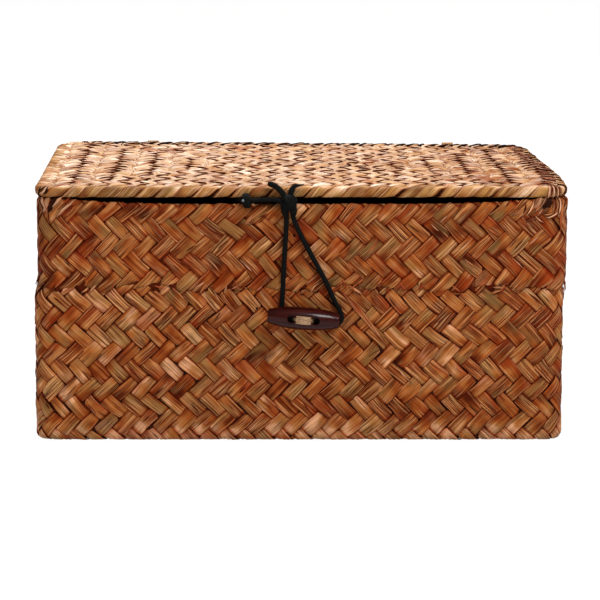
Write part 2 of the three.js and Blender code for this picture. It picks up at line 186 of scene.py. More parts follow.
class Nodes:
    """The nodes of one material or world."""

    def __init__(self, owner: bpy.types.Material | bpy.types.World) -> None:
        """Empties the owner's tree."""
        self.owner = owner
        owner.use_nodes = True
        self.tree = owner.node_tree
        self.tree.nodes.clear()

    def add(
        self, kind: str, settings: dict[str, object], inputs: dict[int | str, object], output: int | str = 0
    ) -> Wire:
        """Adds a shader node.

        Args:
            kind: The node's type, without its ShaderNode beginning.
            settings: Properties, which are set first.
            inputs: Values or wires for sockets, by place or name.
            output: The output to give back.

        Returns:
            The wire of that output.
        """
        node = self.tree.nodes.new("ShaderNode" + kind)
        for key, value in settings.items():
            setattr(node, key, value)
        for key, value in inputs.items():
            if isinstance(value, Wire):
                self.tree.links.new(value.socket, node.inputs[key])
            else:
                node.inputs[key].default_value = value
        return Wire(self, node.outputs[output]) if node.outputs else None

    def ramp(self, place: Wire, stops: Stops) -> Wire:
        """Reads a colour ramp.

        Args:
            place: Where on the ramp, from 0 to 1.
            stops: Pairs of place and colour.

        Returns:
            The colour there.
        """
        wire = self.add("ValToRGB", {}, {0: place})
        elements = wire.socket.node.color_ramp.elements
        while len(elements) < len(stops):
            elements.new(1.0)
        for element, (place_at, code) in zip(elements, stops):
            element.position, element.color = place_at, paint(code)
        return wire

    def attribute(self, name: str) -> Wire:
        """Reads a vector attribute of the mesh."""
        return self.add("Attribute", {"attribute_name": name}, {}, "Vector")

    def parts(self, vector: Wire) -> list[Wire]:
        """Splits a vector into its three numbers."""
        split = self.add("SeparateXYZ", {}, {0: vector}).socket.node
        return [Wire(self, socket) for socket in split.outputs]

    def noise(self, vector: Wire, factors: Point, detail: float) -> Wire:
        """Reads soft noise between 0 and 1 at a place multiplied by three factors."""
        place = self.add("VectorMath", {"operation": "MULTIPLY"}, {0: vector, 1: factors})
        return self.add("TexNoise", {}, {"Vector": place, "Scale": 1, "Detail": detail})

    def mix(self, factor: Wire | float, first: Wire | Colour, second: str, blend: str = "MIX") -> Wire:
        """Mixes a web colour into a colour, or with the blend MULTIPLY tints by it."""
        inputs = {0: factor, 6: first, 7: paint(second)}
        return self.add("Mix", {"data_type": "RGBA", "blend_type": blend}, inputs, 2)

    def bump(self, height: Wire, strength: float, depth: float) -> Wire:
        """Turns a height into a bent normal. Its depth is in millimetres."""
        return self.add("Bump", {}, {"Strength": strength, "Distance": depth * MM, "Height": height})

    def surface(self, **inputs: object) -> bpy.types.Material:
        """Ends a material with a principled surface, whose sockets are named with spaces as underlines."""
        named = {key.replace("_", " "): value for key, value in inputs.items()}
        self.add("OutputMaterial", {}, {"Surface": self.add("BsdfPrincipled", {}, named)})
        return self.owner


@dataclass(frozen=True)
class Grass:
    """Flattened dried grass: each stretch has its own tone, with splits, torn pale fibres and painted shade in the
    gaps.
    """

    name: str
    palette: Stops
    # Painted shade: the dark colour mixed in where a strip goes under its neighbour and at its edges.
    gap_shade: str
    split: str = "#421304"
    pale: str = "#DDA06A"
    olive: str = "#86683A"
    red: str = "#8A2E0C"
    # Painted shade: the tint that deepens and reddens the colour there.
    shade_tint: str = "#FFB489"
    variety: float = 1.0
    lines: float = 0.55
    # How much of the painted shade goes in where a strip goes under, and at its edges.
    gap_shade_share: float = 0.85
    edge_shade_share: float = 0.65
    specular: float = 0.04
    relief: float = 0.4

    @cache
    def material(self) -> bpy.types.Material:
        """Makes the finish from each strip's fibre and look attributes.

        Returns:
            The material.
        """
        nodes = Nodes(bpy.data.materials.new(self.name))
        fibre = nodes.attribute("fibre")
        # The look holds each strip's tone, its painted shade where it goes under, and its painted shade at its edges
        # and underside.
        tone, under, edge = nodes.parts(nodes.attribute("look"))
        stretch = nodes.noise(fibre, (0.085, 0.1, 1), 1)
        hue = nodes.noise(fibre, (0.05, 0.12, 1.7), 0)
        worn = nodes.noise(fibre, (0.07, 0.1, 2.3), 0).above(0.36, 4)
        band = nodes.noise(fibre, (0.03, 0.45, 1), 1)
        streak = nodes.noise(fibre, (0.03, 1.3, 1), 2)
        thread = nodes.noise(fibre, (0.08, 3.2, 1), 2)
        ridge = nodes.noise(fibre, (0.022, 0.6, 1.3), 1)
        place = tone + ((stretch - 0.5) * 1.45 + (band - 0.5) * 0.5 + (streak - 0.5) * 0.6) * self.variety
        colour = nodes.ramp(place.held(), self.palette)
        colour = nodes.mix(hue.above(0.55, 6) * 0.62, colour, self.olive)
        colour = nodes.mix(hue.below(0.44, 6) * 0.62, colour, self.red)
        torn = ridge.near(0.6, 9) * thread.above(0.4, 4) * worn
        split = ridge.near(0.5, 8) * streak.above(0.36, 5) * (worn * 0.7 + 0.3)
        grain = streak.below(0.49, 8) * (worn * 0.6 + 0.2)
        line = thread.below(0.43, 12) * self.lines
        shine = streak.above(0.55, 7) * (worn * 0.55 + 0.08)
        colour = nodes.mix(grain + (0.5 - thread) * 0.6, colour, self.split)
        colour = nodes.mix(shine, colour, self.pale)
        colour = nodes.mix((split * 0.85 + line).held(), colour, self.split)
        fringe = edge.near(0.3, 3.5) * streak.above(0.5, 7)
        colour = nodes.mix((torn * 0.75 + fringe * 0.7).held(), colour, self.pale)
        # Painted shade: where a strip goes under and at its edges and underside, its colour is deepened by the tint,
        # then mixed toward the dark shade colour.
        colour = nodes.mix((under * 2 + edge).held(), colour, self.shade_tint, "MULTIPLY")
        painted_shade = (under * self.gap_shade_share + edge * self.edge_shade_share).held()
        return nodes.surface(
            Base_Color=nodes.mix(painted_shade, colour, self.gap_shade),
            Roughness=(thread * 0.35 + 0.4).held(),
            Normal=nodes.bump(streak * 0.9 + thread * 0.4 - split + torn * 0.4, 0.9, self.relief),
            Specular_IOR_Level=self.specular,
        )


@dataclass(frozen=True)
class Braid:
    """Round braided or twisted cord: two helices of yarn cross each other, or one runs alone."""

    name: str
    dark: str
    light: str
    pitch: float
    turns: float
    crossed: bool
    roughness: float
    relief: float

    @cache
    def material(self) -> bpy.types.Material:
        """Makes the finish from the cord's fibre attribute: distance along, share of the way round, seed.

        Returns:
            The material.
        """
        nodes = Nodes(bpy.data.materials.new(self.name))
        fibre = nodes.attribute("fibre")
        along, around, _ = nodes.parts(fibre)
        pitch, turns = FULL_TURN / self.pitch, FULL_TURN * self.turns
        yarn = (along * pitch + around * turns).wave()
        if self.crossed:
            yarn = yarn * (along * pitch - around * turns).wave()
        fuzz = nodes.noise(fibre, (2.2, 30, 1), 3)
        shade = (yarn * 0.28 + 0.5 + (fuzz - 0.5) * 0.9).held()
        return nodes.surface(
            Base_Color=nodes.mix(shade, paint(self.dark), self.light),
            Roughness=(fuzz * 0.3 + (self.roughness - 0.15)).held(),
            Normal=nodes.bump(yarn * 0.5 + fuzz * 0.6, 0.9, self.relief),
            Specular_IOR_Level=0.08,
        )


@dataclass(frozen=True)
class PolishedWood:
    """Dark turned wood under a clear polish, with its grain along X."""

    name: str
    palette: Stops

    @cache
    def material(self) -> bpy.types.Material:
        """Makes the finish from the piece's own coordinates.

        Returns:
            The material.
        """
        nodes = Nodes(bpy.data.materials.new(self.name))
        place = nodes.add("TexCoord", {}, {}, "Object")
        grain = nodes.noise(place, (60, 900, 900), 5)
        ring = nodes.noise(place, (25, 240, 240), 2)
        return nodes.surface(
            Base_Color=nodes.ramp((grain * 0.55 + ring * 0.5).held(), self.palette),
            Roughness=(grain * 0.2 + 0.18).held(),
            Normal=nodes.bump(grain, 0.35, 0.12),
            Specular_IOR_Level=0.06,
            Coat_Weight=0.22,
            Coat_Roughness=0.14,
        )


Finish = Grass | Braid | PolishedWood

BODY_PALETTE = (
    (0, "#3A1000"), (0.15, "#5C2004"), (0.35, "#823A10"), (0.52, "#9A5020"), (0.68, "#AE6832"),
    (0.84, "#B67A4A"), (1, "#E0A47A"),
)
# Paler than the body's: the same grass, painted with the sheen and top light on the lid's top.
LID_SHEEN_PALETTE = (
    (0, "#723A12"), (0.2, "#A87440"), (0.42, "#CEA276"), (0.62, "#E0BC96"), (0.82, "#F0D4B8"), (1, "#FFE9D0"),
)
# The fold's pale upper stops serve the painted sheen on the wraps' tops.
FOLD_PALETTE = (
    (0, "#6A3A1A"), (0.2, "#905E2C"), (0.4, "#B07E42"), (0.6, "#CA9864"), (0.8, "#E6B994"), (1, "#FFDCBC"),
)
FRAY_PALETTE = (
    (0, "#200401"), (0.2, "#541305"), (0.4, "#9A3616"), (0.6, "#AC6434"), (0.8, "#C98A5E"), (1, "#F0BE9A"),
)
# Painted shade: a near-black grass for what lies in shade behind and between the strips.
SHADE_PALETTE = ((0, "#1A0602"), (1, "#421809"))
WOOD_PALETTE = ((0.28, "#130202"), (0.52, "#2A0604"), (0.78, "#46120B"))

WALL_GRASS = Grass("wall_grass", BODY_PALETTE, gap_shade="#360C00")
# A lit copy of the wall's grass: paler throughout, as painted sheen and top light on the lid.
LID_SHEEN_GRASS = Grass(
    "lid_grass", LID_SHEEN_PALETTE, gap_shade="#461302", split="#7A3A16", pale="#FFEEDC", olive="#C09864", red="#A4562E",
    shade_tint="#FFC494", lines=0.35, gap_shade_share=0.95, edge_shade_share=0.92, relief=0.3,
)
FOLD_GRASS = Grass(
    "fold_grass", FOLD_PALETTE, gap_shade="#53240A", split="#6A3A14", pale="#E0B88A", red="#A0602C", shade_tint="#FFC890",
    lines=0.35, edge_shade_share=0.85, specular=0.09, relief=0.25,
)
SHADE_GRASS = Grass(
    "shade_grass", SHADE_PALETTE, gap_shade="#180802", split="#140602", pale="#4A2410", olive="#2A1408", red="#300E04"
)
FRAYED_GRASS = Grass(
    "frayed_grass", FRAY_PALETTE, gap_shade="#3E1002", pale="#D89A70", olive="#7A4E28", variety=0.35, gap_shade_share=0.3
)
ELASTIC = Braid("elastic_cord", "#040303", "#151514", 1.5, 6, True, 0.8, 0.35)
RUBBER = Braid("cord_core", "#5E6468", "#8A9094", 1.0, 4, False, 0.7, 0.1)
TWINE = Braid("tie_twine", "#8A5A30", "#D2A470", 3.4, 4, False, 0.85, 0.3)
RAFFIA = Braid("raffia", "#8C5C3C", "#ECC8A0", 7.0, 5, False, 0.7, 0.3)
DARK_WOOD = PolishedWood("dark_wood", WOOD_PALETTE)


class Skin:
    """Gathers closed grids of points, as rows along a strip and columns round it, into one mesh."""

    # Shares of a cell of the map: where its faces start, how far they reach, and the same for its end caps.
    faces_at, faces_reach = (0.03, 0.08), (0.94, 0.84)
    caps_at, caps_apart, cap_width, cap_round = 0.005, 0.97, 0.02, (0.48, 0.4)

    def __init__(self, slenderness: float = 2.5) -> None:
        """Starts empty. The slenderness of the strips sets how many lie side by side on the unwrapped map."""
        self.grids: list[tuple[Array, Array, Array, bool]] = []
        self.slenderness = slenderness

    def add(
        self, points: Array, along: Array, around: Array, seed: float, look: Look = (0.5, 0.0, 0.0),
        closed: bool = False,
    ) -> None:
        """Adds one grid.

        Args:
            points: Rows by columns by three coordinates, in millimetres. The last column joins the first.
            along: Distance of each row along the strip.
            around: Place of each column across or round the strip.
            seed: A number of the strip's own, which sets its grain apart.
            look: Tone, how far under another strip, and nearness to an edge or the underside, the last two setting
                painted shade, each for all points or the same.
            closed: True if the last row joins the first.
        """
        shape = points.shape[:2]
        fibre, look = (
            np.stack([np.broadcast_to(part, shape) for part in parts], -1).reshape(-1, 3)
            for parts in ((along[:, None], around, seed), look)
        )
        self.grids.append((points, fibre, look, closed))

    @staticmethod
    def _faces(rows: int, columns: int, closed: bool) -> tuple[Array, Array, Array]:
        """Works out the faces of a grid.

        Args:
            rows: Points along it.
            columns: Points round it.
            closed: True if the last row joins the first.

        Returns:
            The quads, the row and column shares of their corners, and the end caps.
        """
        row = np.arange(rows if closed else rows - 1)[:, None]
        column = np.arange(columns)[None, :]
        steps = ((0, 0), (0, 1), (1, 1), (1, 0))
        quads = [((row + up) % rows) * columns + (column + side) % columns for up, side in steps]
        share_rows = [np.broadcast_to((row + up) / len(row), (len(row), columns)) for up, _ in steps]
        share_columns = [np.broadcast_to((column + side) / columns, (len(row), columns)) for _, side in steps]
        shares = np.stack([np.stack(share_rows, -1), np.stack(share_columns, -1)], -1)
        ring = np.arange(columns)
        caps = np.empty((0, columns), int) if closed else np.stack([ring[::-1], ring + (rows - 1) * columns])
        return np.stack(quads, -1).reshape(-1, 4), shares.reshape(-1, 4, 2), caps

    def make(self, name: str, finish: Finish) -> bpy.types.Object:
        """Makes the mesh, its attributes and its map, and puts it in the scene at the origin. On the map each
        grid has a cell: its faces fill the middle, and its end caps stand at the sides.

        Args:
            name: The piece's name.
            finish: Its finish.

        Returns:
            The new object.
        """
        across = max(1, round(math.sqrt(len(self.grids) / self.slenderness)))
        cells = np.array([across, math.ceil(len(self.grids) / across)])
        loops, sizes, maps, first = [], [], [], 0
        for number, (grid, _, _, closed) in enumerate(self.grids):
            rows, columns = grid.shape[:2]
            quads, shares, caps = self._faces(rows, columns, closed)
            corner = np.array([number % across, number // across])
            turn = np.arange(columns) / columns * FULL_TURN
            rim = 0.5 + np.stack([np.cos(turn), np.sin(turn)], -1) * self.cap_round
            for side, cap in enumerate(caps):
                loops.append(cap + first)
                sizes.append([columns])
                maps.append((corner + (self.caps_at + side * self.caps_apart, 0) + rim * (self.cap_width, 1)) / cells)
            loops.append((quads + first).ravel())
            sizes.append(np.full(len(quads), 4))
            maps.append((corner + self.faces_at + shares.reshape(-1, 2) * self.faces_reach) / cells)
            first += rows * columns
        points = np.concatenate([grid.reshape(-1, 3) for grid, _, _, _ in self.grids])
        corners, counts = np.concatenate(loops), np.concatenate(sizes)
        mesh = bpy.data.meshes.new(name)
        mesh.vertices.add(len(points))
        mesh.vertices.foreach_set("co", (points * MM).ravel())
        mesh.loops.add(len(corners))
        mesh.loops.foreach_set("vertex_index", corners)
        mesh.polygons.add(len(counts))
        mesh.polygons.foreach_set("loop_start", np.concatenate([[0], np.cumsum(counts)[:-1]]))
        mesh.polygons.foreach_set("use_smooth", np.ones(len(counts), bool))
        mesh.update(calc_edges=True)
        mesh.uv_layers.new(name="OFBake").data.foreach_set("uv", np.concatenate(maps).ravel())
        for place, label in ((1, "fibre"), (2, "look")):
            attribute = mesh.attributes.new(label, "FLOAT_VECTOR", "POINT")
            values = np.concatenate([grid[place] for grid in self.grids])
            attribute.data.foreach_set("vector", values.astype(np.float32).ravel())
        if self._inside_out():
            mesh.flip_normals()
        mesh.materials.append(finish.material())
        return link_object(name, mesh)

    def _inside_out(self) -> bool:
        """Tests the first grid by the sum of its faces' signed volumes.

        Returns:
            True if its faces point in.
        """
        grid, _, _, closed = self.grids[0]
        quads, _, caps = self._faces(*grid.shape[:2], closed)
        points = grid.reshape(-1, 3) - grid.reshape(-1, 3).mean(0)
        a, b, c, d = (points[quads[:, place]] for place in range(4))
        volume = (np.cross(a, b) * c).sum() + (np.cross(a, c) * d).sum()
        for cap in caps:
            rim = points[cap]
            volume += (np.cross(rim[0], rim[1:-1]) * rim[2:]).sum()
        return volume < 0

    def piece(self, name: str, finish: Finish, body: str, slot: str, *nodes: str) -> None:
        """Makes the mesh and hands it over as a finished piece, as place_piece does."""
        place_piece(self.make(name, finish), body, slot, *nodes)


def link_object(name: str, data: bpy.types.ID) -> bpy.types.Object:
    """Puts a mesh, lamp or camera into the scene as an object of its own."""
    thing = bpy.data.objects.new(name, data)
    bpy.context.scene.collection.objects.link(thing)
    return thing


def place_piece(thing: bpy.types.Object, body: str, slot: str, *nodes: str) -> None:
    """Hands a finished piece over: it rides on its body, and the nodes that it stands for are hidden.

    Args:
        thing: The piece.
        body: The body that it rides on.
        slot: The record's material slot. Not used.
        nodes: The frame's nodes that it replaces.
    """
    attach(thing, body)
    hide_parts(*nodes)
    log.info("%s: %d faces on %s", thing.name, len(thing.data.polygons), body)


@dataclass(frozen=True)
class Sizes:
    """Sizes in millimetres that the frame gives."""

    half_width: float
    half_depth: float
    seam: float
    rim_corner: float
    lid_bottom: float
    lid_top: float
    toggle: Point

    @classmethod
    def from_frame(cls) -> "Sizes":
        """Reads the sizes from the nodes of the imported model.

        Returns:
            The sizes.
        """
        (low_x, low_y, seam), (high_x, high_y, rim_corner) = limits("rim_turned_layer")
        lid_low, lid_high = limits("lid_edge_fold")
        size = ((high_x - low_x) / 2, (high_y - low_y) / 2)
        return cls(*size, seam, rim_corner, lid_low[2], lid_high[2], tuple(sum(limits("toggle")) / 2))


class Outline:
    """The box's plan outline, walked anticlockwise from the middle of the front."""

    def __init__(self, half_width: float, half_depth: float, front_radius: float, back_radius: float) -> None:
        """Works out the stations, where straight runs meet round corners. A station is the distance walked, the
        corner's centre and radius, and the facing direction.

        Args:
            half_width: Half the box's width.
            half_depth: Half its depth.
            front_radius: Radius of the front corners.
            back_radius: Radius of the back corners.
        """
        self.middle_y = (front_radius - back_radius) / 2
        corners = (
            (1, -1, front_radius, -QUARTER_TURN),
            (1, 1, back_radius, 0.0),
            (-1, 1, back_radius, QUARTER_TURN),
            (-1, -1, front_radius, 2 * QUARTER_TURN),
        )
        rows = [(0.0, 0.0, front_radius - half_depth, front_radius, -QUARTER_TURN)]
        for x, y, radius, facing in corners:
            centre = (x * (half_width - radius), y * (half_depth - radius))
            walked = rows[-1][0] + math.dist(self._edge(*rows[-1][1:]), self._edge(*centre, radius, facing))
            rows.append((walked, *centre, radius, facing))
            rows.append((walked + radius * QUARTER_TURN, *centre, radius, facing + QUARTER_TURN))
        end = (0.0, front_radius - half_depth, front_radius, 3 * QUARTER_TURN)
        rows.append((rows[-1][0] + math.dist(self._edge(*rows[-1][1:]), self._edge(*end)), *end))
        self.stations = np.array(rows)
        self.length = self.stations[-1, 0]

    @staticmethod
    def _edge(x: float, y: float, radius: float, facing: float) -> tuple[float, float]:
        """The point of the outline that a station stands for."""
        return x + radius * math.cos(facing), y + radius * math.sin(facing)

    def at(self, along: Array, inset: Array) -> tuple[Array, Array]:
        """Finds places on the outline drawn in by an inset: the corner's centre plus its radius, less the inset,
        in the facing direction, where centre, radius and facing all run evenly between stations.

        Args:
            along: Distance walked round.
            inset: How far inside the outline.

        Returns:
            The places' x and y.
        """
        walked = np.mod(along, self.length)
        x, y, radius, facing = (np.interp(walked, self.stations[:, 0], column) for column in self.stations.T[1:])
        return x + (radius - inset) * np.cos(facing), y + (radius - inset) * np.sin(facing)

    def round_skin(self, sheet: Sheet, count: int, down: Array, lift: Array) -> Skin:
        """One plain closed sheet that goes all round the box.

        Args:
            sheet: The sheet that it follows.
            count: Rows round the box.
            down: The second sheet coordinate of each column.
            lift: The lift of each column.

        Returns:
            The mesh's one grid.
        """
        along = np.linspace(0, self.length, count, endpoint=False)
        skin = Skin()
        skin.add(sheet(along[:, None], down[None, :], np.tile(lift, (count, 1))), along, down, 5.0, closed=True)
        return skin


def bulge(x: Array, out: Array, half_width: float) -> Array:
    """Moves places outward by an amount times the square of the share of the way out."""
    return x + np.sign(x) * out * (x / half_width) ** 2


@dataclass(frozen=True)
class Stance:
    """How the hand-made basket stands: its rim dips between the corners and its walls swell a little."""

    half_width: float
    half_depth: float
    middle_y: float
    seam: float
    rim: float
    front_sag: float = 3.1
    side_sag: float = 1.8
    sag_power: float = 5.0
    corner: float = 17.5
    ends_above: tuple[float, float] = (0.4, 2.6)
    ends_below: tuple[float, float] = (3.7, 2.3)
    end_swell: float = 1.2
    belly: float = 2.0
    blend_height: float = 14.0

    def settle(self, points: Array) -> Array:
        """Moves points of a straight-walled basket to where the hand-made one has them. The rim dips by its sag
        times 1 less the fifth power of the share of the way to the corner. The ends bulge by their own amounts
        above and below the seam.

        Args:
            points: Points with their coordinates last.

        Returns:
            The moved points.
        """
        x, y, z = np.moveaxis(points, -1, 0)
        across = np.clip(np.abs(x) / (self.half_width - self.corner), 0, 1)
        deep = np.clip(np.abs(y - self.middle_y) / (self.half_depth - self.corner), 0, 1)
        sag = self.front_sag * (1 - across**self.sag_power) + self.side_sag * (1 - deep**self.sag_power)
        share = np.clip((z - self.seam) / (self.rim - self.seam), 0, 1)
        above = ease((z - self.seam) / self.blend_height + 0.5)
        upper, lower = np.where(x < 0, *self.ends_above), np.where(x < 0, *self.ends_below)
        out = lower + (upper - lower) * above + self.end_swell * (1 - deep**2) - draw_in(x, y)
        far = bulge(y, self.belly * (1 - above), self.half_depth)
        return np.stack([bulge(x, out, self.half_width), far, z + (self.front_sag - sag) * share], -1)


@dataclass(frozen=True)
class LidSet:
    """How the hand-made lid lies: wider in front, drawn in at the back of its right end, and slightly twisted."""

    half_width: float
    half_depth: float
    low: float
    high: float
    ends_out: tuple[float, float] = (1.2, 2.5)
    back_rise: float = -0.45
    back_twist: float = 1.2

    def settle(self, points: Array) -> Array:
        """Moves points of a true lid to where the hand-made one has them. Each end bulges by its own amount, less
        what draws it in. The top rises or sinks toward the back, and the underside stays level.

        Args:
            points: Points with their coordinates last.

        Returns:
            The moved points.
        """
        x, y, z = np.moveaxis(points, -1, 0)
        out = np.where(x < 0, *self.ends_out) - draw_in(x, y)
        back = ease(y / self.half_depth / 2 + 0.5)
        share = np.clip((z - self.low) / (self.high - self.low), 0, 1)
        rise = (self.back_rise - self.back_twist * x / self.half_width) * back * share
        return np.stack([bulge(x, out, self.half_width), y, z + rise], -1)


class Profile:
    """A sheet's cross-section, walked up its outside from its lower end, in straight runs and round turns."""

    step = 0.05

    def __init__(self, inset: float, height: float, tilt: float, runs: tuple[tuple[float, float], ...]) -> None:
        """Adds up the walk: the tilt grows evenly along a turn, and each step goes square to it.

        Args:
            inset: Where the walk starts, inside the outline.
            height: Where it starts, above the floor.
            tilt: Which way the sheet faces there: down is minus a quarter turn, out is 0, up is a quarter turn.
            runs: Each run's length and the turn it makes.
        """
        breaks, turned = np.cumsum([(0.0, 0.0), *runs], axis=0).T
        self.length = float(breaks[-1])
        self.walk = np.arange(0, self.length + self.step, self.step)
        self.tilts = np.interp(self.walk, breaks, tilt + turned)
        middle = np.interp(self.walk[1:] - self.step / 2, breaks, tilt + turned)
        self.insets = inset + np.concatenate([[0], np.cumsum(np.sin(middle) * self.step)])
        self.heights = height + np.concatenate([[0], np.cumsum(np.cos(middle) * self.step)])

    def at(self, up: Array) -> tuple[Array, Array, Array]:
        """Gives inset, height and tilt at distances up the walk."""
        return tuple(np.interp(up, self.walk, table) for table in (self.insets, self.heights, self.tilts))


@dataclass
class Shell:
    """A sheet that goes all round the box with one profile."""

    outline: Outline
    stance: Stance | LidSet
    profile: Profile
    rim_at: float
    wander: float = 0.0

    def stray(self, along: Array, down: Array) -> tuple[Array, Array]:
        """Moves sheet coordinates about as uneven hand plaiting does: each by waves of whole numbers round the
        box, which fade out at the rim and at the lower edge.

        Args:
            along: Distance round the outline.
            down: Distance below the rim, along the profile.

        Returns:
            Both, moved.
        """
        turn = along * FULL_TURN / self.outline.length
        share = self.wander * ease(down / 16) * ease((self.rim_at - down) / 16)
        rows = np.sin(5 * turn + 0.7) + 0.8 * np.sin(12 * turn + down / 30)
        columns = np.sin(down / 16 + 4 * turn) + 0.6 * np.sin(down / 12 + 9 * turn + 1.3)
        return along + share * columns, down + share * rows

    def place(self, along: Array, down: Array, lift: Array) -> Array:
        """Puts sheet coordinates into space: the profile at its height, moved out along its facing by the lift.

        Args:
            along: Distance round the outline.
            down: Distance below the rim, along the profile.
            lift: Height above the sheet's middle.

        Returns:
            The points, with their coordinates last.
        """
        along, down = self.stray(along, down)
        inset, height, tilt = self.profile.at(self.rim_at - down)
        x, y = self.outline.at(along, inset - lift * np.cos(tilt))
        return self.stance.settle(np.stack([x, y, height + lift * np.sin(tilt)], -1))


@dataclass
class Mat:
    """A flat sheet that faces up or down, whose border dips under what covers it."""

    half_width: float
    half_depth: float
    height: float
    facing: int
    stance: Stance | LidSet
    dip: float = 0.0
    dip_width: float = 4.0

    def place(self, x: Array, y: Array, lift: Array) -> Array:
        """Puts sheet coordinates into space, with the border eased down by the dip.

        Args:
            x: Places to the right.
            y: Places to the back.
            lift: Height above the sheet's middle, on the side that it faces.

        Returns:
            The points, with their coordinates last.
        """
        inside = np.minimum(self.half_width - np.abs(x), self.half_depth - np.abs(y))
        drop = self.dip * (1 - ease(inside / self.dip_width))
        return self.stance.settle(np.stack([x, y, self.height + self.facing * (lift - drop)], -1))


@dataclass(frozen=True)
class Blade:
    """The cross-section of a flattened strip, and how unevenly it lies."""

    width: float
    thickness: float
    crown: float
    ride: float = 0.0
    bend: float = 0.7
    delay: float = 0.08
    width_spread: float = 0.55
    waver: float = 0.4
    roll: float = 0.045
    groove: float = 0.09
    ragged: float = 0.08
    # How sharply the painted shade gathers at the strip's edges.
    edge_shade_power: float = 10.0
    edge_drop: float = 0.6
    top_points: int = 7

    def loop(self, rng: np.random.Generator) -> tuple[Array, Array, Array]:
        """Gives the section: a crowned, slightly grooved top whose edges drop, and a flat underside.

        Args:
            rng: Source of the grooves.

        Returns:
            Each point's share across, its height, and how near it is to the edge or the underside, which sets its
            painted shade.
        """
        across = np.sin(np.linspace(-QUARTER_TURN, QUARTER_TURN, self.top_points))
        top = self.thickness / 2 * (1 - self.edge_drop * across**6) + self.crown * (1 - across**2)
        top[1:-1] += rng.uniform(-self.groove, self.groove, self.top_points - 2)
        # Painted shade: full at the edges and on the underside, falling off across the top.
        near = np.concatenate([np.abs(across) ** self.edge_shade_power, (1.0, 1.0)])
        return np.concatenate([across, UNDERSIDE]), np.concatenate([top, np.full(2, -self.thickness / 2)]), near

    def levels(self, sign_at: Callable[[Array], Array], places: Array) -> tuple[Array, Array]:
        """Says how high a strip rides, from 1 over the strips that it crosses to -1 under them. Between two
        crossings it eases from the one's sign to the other's within a share of the way, the bend, and nearer to
        the crossing where it is over, by the delay.

        Args:
            sign_at: Gives 1 or -1 for whole crossing numbers.
            places: Places along the strip, counted in crossings.

        Returns:
            The level, and its painted shade where it goes under, from 0 to 1, at each place.
        """
        crossing = np.floor(places).astype(int)
        before = sign_at(crossing)
        change = sign_at(crossing + 1) - before
        past = places - crossing - 0.5
        level = before + change * ease((past - self.delay * np.sign(change)) / self.bend + 0.5)
        return level, shade_under(before + change * ease(past + 0.5))


class Weaver:
    """Lays ribbons on a sheet, one strip at a time."""

    # Wavelengths of a ribbon's unevenness, its waver and roll, and its tone, and how much the tone drifts.
    ragged_wave, waver_wave, roll_wave, tone_wave, tone_drift = 40, 70, 40, 60, 0.1

    def __init__(self, skin: Skin, blade: Blade, rng: np.random.Generator, tone: tuple[float, float]) -> None:
        """Keeps the mesh to fill, the strip's section, the random source, and the mean and spread of tone."""
        self.skin, self.blade, self.rng, self.tone = skin, blade, rng, tone

    def lay(
        self, sheet: Sheet, first: Array, second: Array, rise: Array, taper: tuple[float, float] = (0.0, 0.0),
        cover: Array | float = 0.0, pale: Array | float = 0.0, point: float = 0.5, cut: float = 0.0,
    ) -> None:
        """Lays one ribbon along a path on a sheet.

        Args:
            sheet: Puts two coordinates and a lift into space.
            first: The path's first coordinates on the sheet.
            second: Its second coordinates.
            rise: Lift of the ribbon's middle line.
            taper: Lengths over which the start and the end narrow.
            cover: How far under other strips the ribbon is, from 0 to 1, which sets its painted shade.
            pale: What its tone gains. Callers use it for painted light and shade, and for darker patches.
            point: The width left at a tapered end, as a share.
            cut: How far one edge of the far end runs past the other, as a share of the width.
        """
        rng, blade = self.rng, self.blade
        run_first, run_second = np.gradient(first), np.gradient(second)
        pace = np.hypot(run_first, run_second)
        along = np.concatenate([[0], np.cumsum((pace[1:] + pace[:-1]) / 2)])
        side_first, side_second = (-run_second / pace)[:, None], (run_first / pace)[:, None]
        uneven = 1 + blade.ragged * drift(rng, along, self.ragged_wave)
        half = (blade.width + rng.normal(0, blade.width_spread)) / 2 * uneven
        for length, distance in zip(taper, (along, along[-1] - along)):
            if length:
                half = half * (point + (1 - point) * ease(distance / length))
        waver = blade.waver * drift(rng, along, self.waver_wave)
        roll = blade.roll * drift(rng, along, self.roll_wave)
        across, section, near = blade.loop(rng)
        offset = waver[:, None] + half[:, None] * across
        lift = rise[:, None] + roll[:, None] * half[:, None] * across * 2 + section
        past = cut * (ease(1 - (along[-1] - along) / blade.width) * half)[:, None] * across
        first = first[:, None] + side_first * offset + side_second * past
        second = second[:, None] + side_second * offset - side_first * past
        tone = rng.normal(*self.tone) + self.tone_drift * drift(rng, along, self.tone_wave) + pale
        tone = np.clip(tone, *TONE_LIMITS)
        look = (tone[:, None], np.broadcast_to(cover, along.shape)[:, None], near)
        self.skin.add(sheet(first, second, lift), along, across * blade.width / 2, rng.uniform(0, SEED_SPAN), look)


